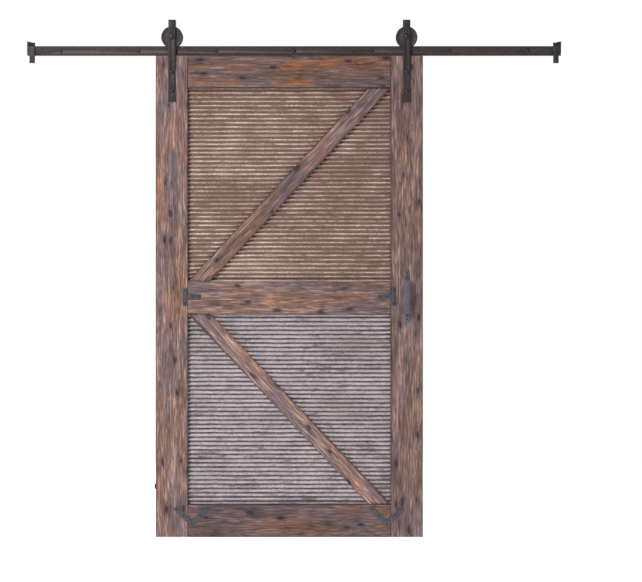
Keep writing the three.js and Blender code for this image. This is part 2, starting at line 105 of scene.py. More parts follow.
class Signal:
    """A number in a material's nodes, which Python's operators turn into Math nodes."""

    def __init__(self, shader: "Shader", socket: bpy.types.NodeSocket) -> None:
        """Wraps one output socket of the shader's tree."""
        self.shader = shader
        self.socket = socket

    def _math(self, operation: str, first: object, second: object = 0.0) -> "Signal":
        """Adds one Math node.

        Args:
            operation: The node's operation.
            first: A signal or a number.
            second: A signal or a number.

        Returns:
            The node's output.
        """
        node = self.shader.node("ShaderNodeMath", {"operation": operation}, {0: first, 1: second})
        return Signal(self.shader, node.outputs[0])

    def __add__(self, other: object) -> "Signal":
        """Sum."""
        return self._math("ADD", self, other)

    __radd__ = __add__

    def __sub__(self, other: object) -> "Signal":
        """Difference."""
        return self._math("SUBTRACT", self, other)

    def __rsub__(self, other: object) -> "Signal":
        """Difference from a number."""
        return self._math("SUBTRACT", other, self)

    def __mul__(self, other: object) -> "Signal":
        """Product."""
        return self._math("MULTIPLY", self, other)

    __rmul__ = __mul__

    def __truediv__(self, other: object) -> "Signal":
        """Quotient."""
        return self._math("DIVIDE", self, other)

    def sine(self) -> "Signal":
        """Sine of the signal in radians."""
        return self._math("SINE", self)

    def size(self) -> "Signal":
        """The signal without its sign."""
        return self._math("ABSOLUTE", self)

    def rise(self, low: float, high: float) -> "Signal":
        """A smooth step from 0 at low to 1 at high; low may be the larger.

        Args:
            low: The value that gives 0.
            high: The value that gives 1.

        Returns:
            The step's output.
        """
        settings = {"interpolation_type": "SMOOTHSTEP"}
        flipped = low > high
        ends = {1: min(low, high), 2: max(low, high), 3: 1.0 if flipped else 0.0, 4: 0.0 if flipped else 1.0}
        node = self.shader.node("ShaderNodeMapRange", settings, {0: self, **ends})
        return Signal(self.shader, node.outputs[0])


class Shader:
    """The node tree of one new material."""

    def __init__(self, name: str, grain: Grain | None = None, seed: float = 0.0) -> None:
        """Makes the material with a Principled shader and its object coordinates.

        Args:
            name: The material's name.
            grain: Lays the coordinates as along, across and depth of a board with this grain.
            seed: Shifts every pattern.
        """
        self.material = bpy.data.materials.new(name)
        self.material.use_nodes = True
        self.tree = self.material.node_tree
        self.tree.nodes.clear()
        self.seed = seed
        self.surface = self.node("ShaderNodeBsdfPrincipled", {}, {})
        self.node("ShaderNodeOutputMaterial", {}, {"Surface": self.surface.outputs[0]})
        self.place = self.node("ShaderNodeTexCoord", {}, {}).outputs["Object"]
        if grain is not None:
            turn = (math.pi / 2, 0.0, math.radians(grain.value))
            sockets = {"Vector": self.place, "Rotation": turn}
            self.place = self.node("ShaderNodeMapping", {}, sockets).outputs[0]

    def node(self, kind: str, settings: dict[str, object], sockets: dict[object, object]) -> bpy.types.Node:
        """Adds a node, sets it up and feeds its sockets.

        Args:
            kind: The node's type.
            settings: Properties of the node.
            sockets: Values or links by socket name or index.

        Returns:
            The new node.
        """
        made = self.tree.nodes.new(kind)
        for key, value in settings.items():
            setattr(made, key, value)
        for key, value in sockets.items():
            source = value.socket if isinstance(value, Signal) else value
            if isinstance(source, bpy.types.NodeSocket):
                self.tree.links.new(source, made.inputs[key])
            else:
                made.inputs[key].default_value = source
        return made

    def _stretched(self, stretch: Sequence[float]) -> bpy.types.NodeSocket:
        """The coordinates times a stretch for each axis, shifted by the seed."""
        shift = (self.seed * 1.7, self.seed * 2.9, self.seed * 0.7)
        sockets = {"Vector": self.place, "Scale": tuple(stretch), "Location": shift}
        return self.node("ShaderNodeMapping", {}, sockets).outputs[0]

    def noise(self, stretch: Sequence[float], detail: float = 3.0, rough: float = 0.55) -> Signal:
        """Fractal noise about 0.5.

        Args:
            stretch: Features to the metre along each axis.
            detail: Number of finer layers.
            rough: Strength of the finer layers.

        Returns:
            The noise.
        """
        sockets = {"Vector": self._stretched(stretch), "Scale": 1.0, "Detail": detail, "Roughness": rough}
        return Signal(self, self.node("ShaderNodeTexNoise", {}, sockets).outputs[0])

    def spots(self, stretch: Sequence[float], flat: bool = False) -> tuple[Signal, Signal]:
        """Distance to the nearest scattered point and a random number for that point.

        Args:
            stretch: Points to the metre along each axis.
            flat: Whether the pattern is the same through the depth.

        Returns:
            The distance and the random number.
        """
        settings = {"voronoi_dimensions": "2D" if flat else "3D"}
        sockets = {"Vector": self._stretched(stretch), "Scale": 1.0}
        found = self.node("ShaderNodeTexVoronoi", settings, sockets)
        lot = self.node("ShaderNodeSeparateColor", {}, {0: found.outputs["Color"]})
        return Signal(self, found.outputs["Distance"]), Signal(self, lot.outputs[0])

    def axes(self) -> list[Signal]:
        """The three coordinates as signals."""
        split = self.node("ShaderNodeSeparateXYZ", {}, {0: self.place})
        return [Signal(self, output) for output in split.outputs]

    def blend(self, share: object, first: object, second: object, mode: str = "MIX") -> bpy.types.NodeSocket:
        """Mixes two colours.

        Args:
            share: How much of the second, as a signal or a number.
            first: A colour or a colour socket.
            second: A colour or a colour socket.
            mode: The blend type.

        Returns:
            The mixed colour.
        """
        settings = {"data_type": "RGBA", "blend_type": mode, "clamp_factor": True}
        pair = [(*c, 1.0) if isinstance(c, tuple) else c for c in (first, second)]
        return self.node("ShaderNodeMix", settings, {0: share, 6: pair[0], 7: pair[1]}).outputs[2]

    def shade(self, colour: bpy.types.NodeSocket, light: Signal) -> bpy.types.NodeSocket:
        """Makes a colour lighter or darker by a signal about 1."""
        grey = self.node("ShaderNodeCombineColor", {}, {0: light, 1: light, 2: light}).outputs[0]
        return self.blend(1.0, colour, grey, "MULTIPLY")

    def finish(
        self,
        colour: bpy.types.NodeSocket,
        roughness: Signal,
        relief: Signal,
        depth: float,
        metallic: Signal | float = 0.0,
    ) -> bpy.types.Material:
        """Feeds the Principled shader.

        Args:
            colour: Base colour.
            roughness: Roughness.
            relief: The relief, between 0 and 1.
            depth: What a relief of 1 stands for, in metres.
            metallic: Metalness, a signal or a number.

        Returns:
            The finished material.
        """
        bump = self.node("ShaderNodeBump", {}, {"Height": relief, "Distance": depth, "Strength": 0.7})
        self.tree.links.new(colour, self.surface.inputs["Base Color"])
        self.tree.links.new(roughness.socket, self.surface.inputs["Roughness"])
        self.tree.links.new(bump.outputs[0], self.surface.inputs["Normal"])
        if isinstance(metallic, Signal):
            self.tree.links.new(metallic.socket, self.surface.inputs["Metallic"])
        else:
            self.surface.inputs["Metallic"].default_value = metallic
        return self.material


# ---------------------------------------------------------------------------------------- finishes


@dataclass(frozen=True)
class WornBoard:
    """Stained and rubbed softwood: tan and amber streaks, dark stain, knots, rings and cracks."""

    name: str
    grain: Grain
    seed: float
    middle: Vector
    half_width: float
    ground: Colour = tone(126, 99, 91)
    mauve: Colour = tone(128, 106, 108)
    tan: Colour = tone(186, 146, 122)
    amber: Colour = tone(176, 112, 66)
    stain: Colour = tone(74, 54, 50)
    blue: Colour = tone(74, 66, 82)
    knot: Colour = tone(48, 36, 42)
    crack: Colour = tone(52, 36, 32)
    grime: Colour = tone(58, 42, 40)
    pit: Colour = tone(56, 40, 38)
    tan_share: float = 0.55
    amber_share: float = 0.15
    stain_share: float = 0.5
    blue_share: float = 0.15
    line_share: float = 0.4
    light: float = 1.0

    def build(self) -> bpy.types.Material:
        """Makes the board's material.

        Returns:
            The material, with its grain along the board.
        """
        shader = Shader(self.name, self.grain, self.seed)
        _, across, _ = shader.axes()
        clouds = shader.noise((2.2, 8, 8), 3, 0.55)
        streaks = shader.noise((4, 34, 34), 5, 0.6)
        fine = shader.noise((16, 150, 150), 4, 0.6)
        fibres = shader.noise((60, 950, 950), 3, 0.6)
        blotches = shader.noise((8, 17, 17), 5, 0.66)
        patches = shader.noise((3.4, 12, 12), 4, 0.62)

        knots, halo, swell = self._knots(shader, blotches)
        wander = shader.noise((1.3, 6, 6), 2, 0.5)
        rings = (across * 470 + wander * 38 + swell * 9).sine() * 0.5 + 0.5
        lines = rings.rise(0.45, 1.0) * fine.rise(0.36, 0.6)
        cracks = shader.noise((2.6, 120, 120), 2, 0.5).rise(0.7, 0.75)

        colour = shader.blend(clouds.rise(0.40, 0.60), self.ground, self.mauve)
        rubbed = (streaks * 0.45 + blotches * 0.15 + fine * 0.4).rise(0.49, 0.62) * self.tan_share
        colour = shader.blend(rubbed, colour, self.tan)
        glow = (patches * 0.7 + streaks * 0.3).rise(0.52, 0.40) * self.amber_share
        colour = shader.blend(glow, colour, self.amber)
        cold = (clouds * 0.4 + patches * 0.6).rise(0.52, 0.62) * self.blue_share
        colour = shader.blend(cold, colour, self.blue)
        soaked = (streaks * 0.4 + blotches * 0.6).rise(0.49, 0.34) * self.stain_share
        colour = shader.blend(soaked, colour, self.stain)
        colour = shader.blend(lines * self.line_share, colour, self.stain)
        colour = shader.blend(halo * 0.45, colour, self.blue)
        colour = shader.blend(knots * 0.85, colour, self.knot)
        colour = shader.blend(cracks * 0.6, colour, self.crack)
        colour = shader.blend(self._grime(across, blotches) * 0.7, colour, self.grime)
        pits, lot = shader.spots((30, 85, 85))
        pitted = pits.rise(0.2, 0.1) * lot.rise(0.7, 0.72)
        colour = shader.blend(pitted * 0.7, colour, self.pit)
        mottle = streaks * 1.2 + fine * 3.2 + fibres * 0.6 - 1.5
        colour = shader.shade(colour, mottle * self.light)

        relief = fibres * 0.3 + fine * 0.3 + rings * 0.15 - knots * 0.2 - pitted * 0.5 - cracks * 0.5
        return shader.finish(colour, fine * 0.25 + 0.6, relief, 1.2 * MM)

    def _knots(self, shader: Shader, blotches: Signal) -> tuple[Signal, Signal, Signal]:
        """Dark oval knots, the stain round them and the swelling of the rings.

        Args:
            shader: The board's shader.
            blotches: Noise that makes the knots' edges ragged.

        Returns:
            The masks of knots, halo and swelling.
        """
        distance, lot = shader.spots((6, 14, 1), flat=True)
        chosen = lot.rise(0.50, 0.52)
        ragged = distance + (blotches - 0.5) * 0.3
        return ragged.rise(0.12, 0.06) * chosen, ragged.rise(0.3, 0.08) * chosen, distance.rise(0.45, 0.0) * chosen

    def _grime(self, across: Signal, blotches: Signal) -> Signal:
        """Dirt that gathers along the board's long edges.

        Args:
            across: The coordinate across the grain.
            blotches: Noise that makes the dirt uneven.

        Returns:
            The dirt's mask.
        """
        angle = math.radians(self.grain.value)
        centre = self.middle.x * math.sin(angle) - self.middle.z * math.cos(angle)
        inset = self.half_width - (across - centre).size()
        return (inset - blotches * 9 * MM).rise(2 * MM, -3 * MM)


class Weathering(Enum):
    """How a panel has aged.

    A value holds four colours: for the ridge tops (painted highlight and rubbed wear), the flanks, the hollows
    (painted shade and grime, also used for stains) and rust;
    then the share of rust, and the height where the painted highlight bands start and the noise level above which
    they cover.
    """

    WARM = (tone(234, 208, 190), tone(136, 110, 98), tone(84, 62, 52), tone(110, 80, 70), 0.85, 0.70, 0.40)
    COOL = (tone(196, 186, 192), tone(120, 106, 106), tone(46, 36, 34), tone(92, 70, 62), 0.5, 0.34, 0.35)


@dataclass(frozen=True)
class WeatheredSheet:
    """Galvanised corrugated steel with rust patches, painted highlights and rubbed wear on the ridge tops, and
    painted shade and grime in the hollows.
    """

    name: str
    age: Weathering
    seed: float
    crest_y: float
    valley_y: float

    def build(self) -> bpy.types.Material:
        """Makes the panel's material.

        Returns:
            The material, which follows the crests through the depth coordinate.
        """
        shader = Shader(self.name, seed=self.seed)
        crest_highlight_and_wear, flank, valley_shade_and_stain, rust, rust_share, start, cover = self.age.value
        _, depth, _ = shader.axes()
        height = (self.valley_y - depth) / (self.valley_y - self.crest_y)

        clouds = shader.noise((2.6, 2, 5), 4, 0.6)
        smears = shader.noise((6, 2, 30), 4, 0.62)
        patches = shader.noise((16, 4, 52), 5, 0.7)
        speckle = shader.noise((90, 60, 170), 3, 0.7)

        # Depth of the surface from hollow to ridge top, plus noise: the mask for the painted shade in the hollows and
        # the painted highlights on the ridges.
        painted_light_height = height + (speckle - 0.5) * 0.5 + (smears - 0.5) * 0.4
        # Painted shade: the hollows darken to a deep colour, in part grime.
        colour = shader.blend(painted_light_height.rise(-0.1, 0.4), valley_shade_and_stain, flank)
        # Painted highlight: pale bands along the ridge tops, broken up by noise, in part rubbed wear.
        rubbed = painted_light_height.rise(start, start + 0.35) * (smears * 0.4 + patches * 0.6).rise(cover, cover + 0.16)
        colour = shader.blend(rubbed * 0.9, colour, crest_highlight_and_wear)
        rusted = (clouds * 0.45 + patches * 0.3 + smears * 0.25).rise(0.49, 0.61) * rust_share
        colour = shader.blend(rusted * 0.8, colour, rust)
        # Pale patches that grow towards the ridge tops: in part zinc bloom, in part painted highlight.
        bloom = (clouds * 0.5 + smears * 0.2 + patches * 0.3).rise(0.47, 0.36) * height.rise(0.1, 0.7)
        colour = shader.blend(bloom * 0.5, colour, crest_highlight_and_wear)
        stains = patches.rise(0.64, 0.72) * speckle.rise(0.42, 0.6)
        colour = shader.blend(stains * 0.75, colour, valley_shade_and_stain)
        colour = shader.shade(colour, speckle * 1.2 + patches * 0.8)
        relief = speckle * 0.3 + patches * 0.7
        return shader.finish(colour, rusted * 0.25 + 0.5, relief, 3 * MM, 0.3 - rusted * 0.25)


@dataclass(frozen=True)
class DarkIron:
    """Blackened or painted iron, mottled, with brown and grey wear."""

    name: str
    ground: Colour
    brown: Colour
    worn: Colour
    scale: float = 60.0
    roughness: float = 0.5
    worn_share: float = 0.5
    relief: float = 0.3
    metallic: float = 0.4

    def build(self) -> bpy.types.Material:
        """Makes the iron's material.

        Returns:
            The material.
        """
        shader = Shader(self.name, seed=self.scale)
        broad = shader.noise((self.scale * 0.12,) * 3)
        mottle = shader.noise((self.scale,) * 3, 4, 0.65)
        grit = shader.noise((self.scale * 9,) * 3, 3, 0.6)
        colour = shader.blend((broad * 0.6 + mottle * 0.4).rise(0.40, 0.60), self.ground, self.brown)
        rubbed = (mottle * 0.6 + grit * 0.4).rise(0.52, 0.68) * self.worn_share
        colour = shader.blend(rubbed, colour, self.worn)
        pocks = mottle.rise(0.40, 0.30)
        colour = shader.blend(pocks * 0.5, colour, tuple(share * 0.4 for share in self.ground))
        relief = mottle * 0.7 + grit * 0.3
        return shader.finish(colour, grit * 0.2 + (self.roughness - 0.1), relief, self.relief * MM, self.metallic)


@dataclass(frozen=True)
class BlackRubber:
    """Moulded black rubber with a fine dusty bloom."""

    name: str

    def build(self) -> bpy.types.Material:
        """Makes the rubber's material.

        Returns:
            The material.
        """
        shader = Shader(self.name)
        dust = shader.noise((90, 90, 90), 4, 0.6)
        grain = shader.noise((1400, 1400, 1400), 2, 0.5)
        colour = shader.blend(dust.rise(0.5, 0.75) * 0.6, tone(30, 28, 28), tone(72, 70, 68))
        return shader.finish(colour, dust * 0.2 + 0.62, grain, 0.15 * MM)


@dataclass(frozen=True)
class BrightSteel:
    """Zinc-plated or ground steel with fine scratches and dull patches."""

    name: str
    ground: Colour
    dull: Colour
    roughness: float = 0.38

    def build(self) -> bpy.types.Material:
        """Makes the steel's material.

        Returns:
            The material.
        """
        shader = Shader(self.name)
        patches = shader.noise((120, 120, 120), 4, 0.6)
        scratches = shader.noise((900, 60, 200), 2, 0.5)
        colour = shader.blend(patches.rise(0.42, 0.62), self.ground, self.dull)
        return shader.finish(colour, patches * 0.3 + (self.roughness - 0.1), scratches, 0.08 * MM, 0.9)


class Metals:
    """The metal and rubber finishes, each made once."""

    def __init__(self) -> None:
        """Builds the shared materials."""
        brown = tone(66, 55, 55)
        self.rail = DarkIron("rail_paint", tone(64, 58, 59), tone(74, 62, 62), tone(102, 94, 94)).build()
        self.strap = DarkIron("strap_iron", tone(55, 49, 50), brown, tone(86, 80, 80), 80).build()
        self.cast = DarkIron(
            "cast_iron", tone(58, 54, 54), tone(70, 63, 62), tone(112, 104, 102), 170, 0.6, 0.7, 0.5
        ).build()
        self.black = DarkIron("black_bolt", tone(50, 48, 48), tone(62, 56, 55), tone(104, 100, 100), 240, 0.4).build()
        self.plate = DarkIron("plate_iron", tone(78, 80, 90), tone(88, 82, 84), tone(122, 122, 130), 150).build()
        self.handle = DarkIron("handle_iron", tone(98, 98, 108), tone(108, 102, 106), tone(142, 140, 148), 90).build()
        self.zinc = BrightSteel("zinc_plate", tone(168, 170, 172), tone(138, 138, 138), 0.42).build()
        self.bearing = BrightSteel("bearing_steel", tone(190, 190, 192), tone(160, 160, 162), 0.3).build()
        self.rubber = BlackRubber("black_rubber").build()


# ------------------------------------------------------------------------------------- bench tools


class Workpiece:
    """One mesh on the bench, shaped in edit mode by Blender's operators."""

    def __init__(self, name: str) -> None:
        """Takes the object that was just added, fixes its place in its mesh and opens it.

        Args:
            name: The piece's name.
        """
        self.object = bpy.context.object
        self.object.name = name
        self.object.data.name = name
        bpy.ops.object.transform_apply(location=True, rotation=True, scale=True)
        bpy.ops.object.mode_set(mode="EDIT")
        bpy.ops.mesh.select_mode(type="VERT")
        bpy.ops.mesh.select_all(action="DESELECT")

    @staticmethod
    def clear() -> None:
        """Leaves edit mode and deselects everything."""
        if bpy.context.object is not None and bpy.context.object.mode != "OBJECT":
            bpy.ops.object.mode_set(mode="OBJECT")
        bpy.ops.object.select_all(action="DESELECT")

    @classmethod
    def block(cls, name: str, low: Vector, high: Vector) -> "Workpiece":
        """Starts from a block between two corners."""
        cls.clear()
        bpy.ops.mesh.primitive_cube_add(size=1, location=(low + high) / 2)
        bpy.context.object.scale = high - low
        return cls(name)

    @classmethod
    def drum(cls, name: str, middle: Vector, radius: float, length: float, sides: int = 24) -> "Workpiece":
        """Starts from a drum whose axis runs along Y."""
        cls.clear()
        turn = (math.pi / 2, 0, 0)
        bpy.ops.mesh.primitive_cylinder_add(
            vertices=sides, radius=radius, depth=length, location=middle, rotation=turn
        )
        return cls(name)

    @classmethod
    def wire(cls, name: str, points: Sequence[Vector]) -> "Workpiece":
        """Starts from a point that is drawn out along a path."""
        cls.clear()
        bpy.ops.mesh.primitive_plane_add(size=1, location=points[0])
        piece = cls(name)
        bpy.ops.mesh.select_all(action="SELECT")
        bpy.ops.mesh.merge(type="CENTER")
        for here, there in zip(points, points[1:]):
            piece.extrude(there - here)
        return piece

    @classmethod
    def sawn(cls, name: str, points: Sequence[Vector], travel: Vector) -> "Workpiece":
        """Saws a flat outline out of a sheet of some thickness.

        Args:
            name: The piece's name.
            points: The outline's corners in order.
            travel: From the outline to its copy on the other face.

        Returns:
            The closed workpiece.
        """
        piece = cls.wire(name, points)
        ends = (points[0], points[-1])
        piece.pick_points(lambda place: any((place - end).length < 1e-6 for end in ends))
        bpy.ops.mesh.edge_face_add()
        bpy.ops.mesh.select_all(action="SELECT")
        bpy.ops.mesh.edge_face_add()
        piece.extrude(travel)
        piece.close_up()
        return piece

    @classmethod
    def turned(
        cls, name: str, profile: Sequence[tuple[float, float]], centre: Vector, steps: int, axis: Vector = BACKWARD
    ) -> "Workpiece":
        """Spins a profile a full turn about an axis.

        Args:
            name: The piece's name.
            profile: (radius, distance along the axis) points in order.
            centre: Where distance 0 lies.
            steps: Steps round the turn.
            axis: The axis's direction.

        Returns:
            The closed workpiece.
        """
        piece = cls.wire(name, [centre + UP * radius + axis * travel for radius, travel in profile])
        bpy.ops.mesh.select_all(action="SELECT")
        bpy.ops.mesh.spin(steps=steps, angle=2 * math.pi, center=centre, axis=axis)
        piece.close_up()
        return piece

    def twin(self, name: str, travel: Vector) -> "Workpiece":
        """A copy with a mesh of its own, moved."""
        self.leave()
        bpy.ops.object.duplicate()
        bpy.context.object.location = travel
        return Workpiece(name)

    def pick_points(self, test: Callable[[Vector], bool]) -> None:
        """Selects the vertices whose place passes a test."""
        bpy.ops.mesh.select_mode(type="VERT")
        bpy.ops.mesh.select_all(action="DESELECT")
        shape = bmesh.from_edit_mesh(self.object.data)
        for vertex in shape.verts:
            vertex.select_set(test(vertex.co))
        shape.select_flush(True)
        bmesh.update_edit_mesh(self.object.data)

    def pick_faces(self, test: Callable[[Vector], bool]) -> None:
        """Selects the faces whose centre passes a test."""
        bpy.ops.mesh.select_mode(type="FACE")
        bpy.ops.mesh.select_all(action="DESELECT")
        shape = bmesh.from_edit_mesh(self.object.data)
        for face in shape.faces:
            face.select_set(test(face.calc_center_median()))
        bmesh.update_edit_mesh(self.object.data)

    def slice(self, place: Vector, normal: Vector, drop: bool = False) -> None:
        """Cuts every face along a plane and keeps both halves, or drops what lies ahead of it."""
        bpy.ops.mesh.select_all(action="SELECT")
        bpy.ops.mesh.bisect(plane_co=place, plane_no=normal, use_fill=False, clear_outer=drop)

    def extrude(self, travel: Vector) -> None:
        """Draws the selection out by a distance."""
        bpy.ops.mesh.extrude_region_move(TRANSFORM_OT_translate={"value": travel})

    def move(self, travel: Vector) -> None:
        """Moves the selection."""
        bpy.ops.transform.translate(value=travel)

    def close_up(self) -> None:
        """Merges doubles and turns every face outwards."""
        bpy.ops.mesh.select_all(action="SELECT")
        bpy.ops.mesh.remove_doubles(threshold=2e-6)
        bpy.ops.mesh.normals_make_consistent(inside=False)

    def leave(self) -> None:
        """Leaves edit mode with only this piece selected."""
        self.clear()
        self.object.select_set(True)
        bpy.context.view_layer.objects.active = self.object

    def _apply(self, kind: str, **settings: object) -> None:
        """Adds a modifier with its settings and applies it."""
        self.leave()
        bpy.ops.object.modifier_add(type=kind)
        modifier = self.object.modifiers[-1]
        for key, value in settings.items():
            setattr(modifier, key, value)
        bpy.ops.object.modifier_apply(modifier=modifier.name)

    def boolean(self, tool: "Workpiece", operation: str = "DIFFERENCE") -> None:
        """Cuts away, joins on or keeps the overlap with another workpiece, which is used up."""
        tool.leave()
        self._apply("BOOLEAN", object=tool.object, operation=operation, solver="EXACT")
        bpy.data.objects.remove(tool.object)

    def drill(self, spot: Vector, radius: float) -> None:
        """Drills a round hole through the piece from front to back."""
        self.boolean(Workpiece.drum("drill", spot, radius, DRILL_LENGTH))

    def soften(self, width: float, segments: int = 2) -> None:
        """Rounds every sharp edge."""
        limit = {"limit_method": "ANGLE", "angle_limit": math.radians(35)}
        self._apply("BEVEL", width=width, segments=segments, use_clamp_overlap=True, **limit)

    def repeat(self, count: int, travel: Vector) -> None:
        """Sets equal copies side by side and merges them."""
        spacing = {"use_relative_offset": False, "use_constant_offset": True, "constant_offset_displace": travel}
        self._apply("ARRAY", count=count, use_merge_vertices=True, merge_threshold=1e-5, **spacing)

    def thicken(self, thickness: float) -> None:
        """Gives a skin its wall, half to each side."""
        self._apply("SOLIDIFY", thickness=thickness, offset=0.0, use_even_offset=True)

    def ripple(self, feature: float, strength: float, direction: str = "NORMAL") -> None:
        """Moves the surface gently by a smooth cloud texture.

        Args:
            feature: Size of the waves.
            strength: Height from the lowest to the highest.
            direction: NORMAL or an axis.
        """
        texture = bpy.data.textures.new(f"{self.object.name}_waves", type="CLOUDS")
        texture.noise_scale = feature
        texture.noise_depth = 1
        settings = {"strength": strength, "direction": direction, "texture_coords": "LOCAL"}
        self._apply("DISPLACE", texture=texture, **settings)

    def done(self, finish: bpy.types.Material, body: Body, slot: str, *nodes: str) -> None:
        """Smooths and dresses the piece and hands it to its body.

        Args:
            finish: The piece's material.
            body: The body it rides on.
            slot: The record's material slot; not used.
            nodes: The CAD nodes that it stands for.
        """
        self.leave()
        bpy.ops.object.shade_smooth_by_angle(angle=math.radians(35))
        self.object.data.materials.clear()
        self.object.data.materials.append(finish)
        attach(self.object, body.value)
        if nodes:
            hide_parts(*nodes)
        log.info("%s rides on %s, %d faces", self.object.name, body.value, len(self.object.data.polygons))


def corners_of(node: str) -> tuple[Vector, Vector]:
    """The lowest and highest corner of a CAD node's box."""
    low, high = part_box(node)
    return Vector(low), Vector(high)


def middle_of(node: str) -> Vector:
    """The middle of a CAD node's box."""
    low, high = corners_of(node)
    return (low + high) / 2


def eased(corners: Sequence[tuple[float, float, float]], steps: int = 6) -> list[tuple[float, float]]:
    """Rounds the corners of a flat outline.

    Args:
        corners: (across, up, radius) of each corner in order.
        steps: Steps round each corner.

    Returns:
        The outline's (across, up) points.
    """
    points = []
    for index, (across, up, radius) in enumerate(corners):
        corner = Vector((across, up))
        if radius == 0:
            points.append((across, up))
            continue
        before = (Vector(corners[index - 1][:2]) - corner).normalized()
        after = (Vector(corners[(index + 1) % len(corners)][:2]) - corner).normalized()
        half = before.angle(after) / 2
        centre = corner + (before + after).normalized() * (radius / math.sin(half))
        reach = radius / math.tan(half)
        start, end = corner + before * reach - centre, corner + after * reach - centre
        points += [tuple(centre + start.slerp(end, step / steps) * radius) for step in range(steps + 1)]
    return points


def dome(radius: float, height: float, seat: float, rim: float, steps: int = 7) -> list[tuple[float, float]]:
    """Profile of a domed head, from its crown to its flat underside.

    Args:
        radius: The head's radius.
        height: The head's height.
        seat: Where the underside lies along the axis.
        rim: Height of the straight edge above the underside.
        steps: Points along the crown.

    Returns:
        (radius, distance) points.
    """
    angles = [step * math.pi / 2 / steps for step in range(steps + 1)]
    crown = [(radius * math.sin(a), seat - rim - (height - rim) * math.cos(a)) for a in angles]
    return [*crown, (radius, seat)]


def thread(radius: float, start: float, end: float, pitch: float) -> list[tuple[float, float]]:
    """Profile of a threaded length, whose crests reach the radius.

    Args:
        radius: The crests' radius.
        start: Where the thread begins along the axis.
        end: Where it ends.
        pitch: Distance between crests.

    Returns:
        (radius, distance) points.
    """
    count = int((end - start) / pitch)
    points = []
    for turn in range(count):
        here = start + turn * pitch
        points += [(radius, here), (radius * 0.86, here + pitch / 2)]
    return [*points, (radius, start + count * pitch)]


# ------------------------------------------------------------------------------------------ studio


@dataclass
class Studio:
    """Camera, pale floor and soft light."""

    aim: Vector = field(default_factory=lambda: Vector((0.1229, 0.0, -1.097)))
    distance: float = 9.045
    lens: float = 110.5
    floor_gap: float = 15 * MM
    floor_size: float = 8.0
    glow: float = 0.72
    sky: float = 0.23
    key_place: Vector = field(default_factory=lambda: Vector((-3.4, -5.4, 3.2)))
    key_size: float = 1.6
    key_power: float = 345.0
    fill_place: Vector = field(default_factory=lambda: Vector((3.0, 5.0, 2.4)))
    fill_size: float = 3.0
    fill_power: float = 220.0

    def build(self) -> None:
        """Sets up the whole studio."""
        bpy.context.scene.view_settings.view_transform = "Standard"
        self._camera()
        self._world()
        self._floor()
        self._light("window", self.key_place, self.key_size, self.key_power)
        self._light("back_softbox", self.fill_place, self.fill_size, self.fill_power)

    def _camera(self) -> None:
        """Places the camera in front of the door at half height."""
        data = bpy.data.cameras.new("camera")
        data.lens = self.lens
        camera = bpy.data.objects.new("camera", data)
        camera.location = self.aim - BACKWARD * self.distance
        camera.rotation_euler = (math.pi / 2, 0, 0)
        bpy.context.scene.collection.objects.link(camera)
        bpy.context.scene.camera = camera

    def _world(self) -> None:
        """Gives an even pale sky that looks white behind the door."""
        world = bpy.data.worlds.new("pale_sky")
        world.use_nodes = True
        tree = world.node_tree
        tree.nodes.clear()
        path = tree.nodes.new("ShaderNodeLightPath")
        strength = tree.nodes.new("ShaderNodeMapRange")
        strength.inputs[3].default_value = self.sky
        strength.inputs[4].default_value = 1.0
        background = tree.nodes.new("ShaderNodeBackground")
        background.inputs["Color"].default_value = (1, 1, 1, 1)
        output = tree.nodes.new("ShaderNodeOutputWorld")
        tree.links.new(path.outputs["Is Camera Ray"], strength.inputs[0])
        tree.links.new(strength.outputs[0], background.inputs["Strength"])
        tree.links.new(background.outputs[0], output.inputs["Surface"])
        bpy.context.scene.world = world

    def _floor(self) -> None:
        """Lays a plain pale floor just below the door."""
        Workpiece.clear()
        height = corners_of("left_stile")[0].z - self.floor_gap
        bpy.ops.mesh.primitive_plane_add(size=self.floor_size, location=(0, 0, height))
        floor = bpy.context.object
        floor.name = "floor"
        material = bpy.data.materials.new("pale_floor")
        material.use_nodes = True
        surface = material.node_tree.nodes["Principled BSDF"]
        surface.inputs["Base Color"].default_value = (0.9, 0.9, 0.9, 1)
        surface.inputs["Roughness"].default_value = 0.9
        surface.inputs["Emission Color"].default_value = (1, 1, 1, 1)
        surface.inputs["Emission Strength"].default_value = self.glow
        floor.data.materials.append(material)

    def _light(self, name: str, place: Vector, size: float, power: float) -> None:
        """Adds one square softbox that faces the door.

        Args:
            name: The light's name.
            place: Where it stands.
            size: Length of its side.
            power: Its power in watts.
        """
        data = bpy.data.lights.new(name, type="AREA")
        data.size = size
        data.energy = power
        lamp = bpy.data.objects.new(name, data)
        lamp.location = place
        lamp.rotation_euler = (Vector((0, 0, self.aim.z)) - place).to_track_quat("-Z", "Y").to_euler()
        bpy.context.scene.collection.objects.link(lamp)


# ------------------------------------------------------------------------------------------- track


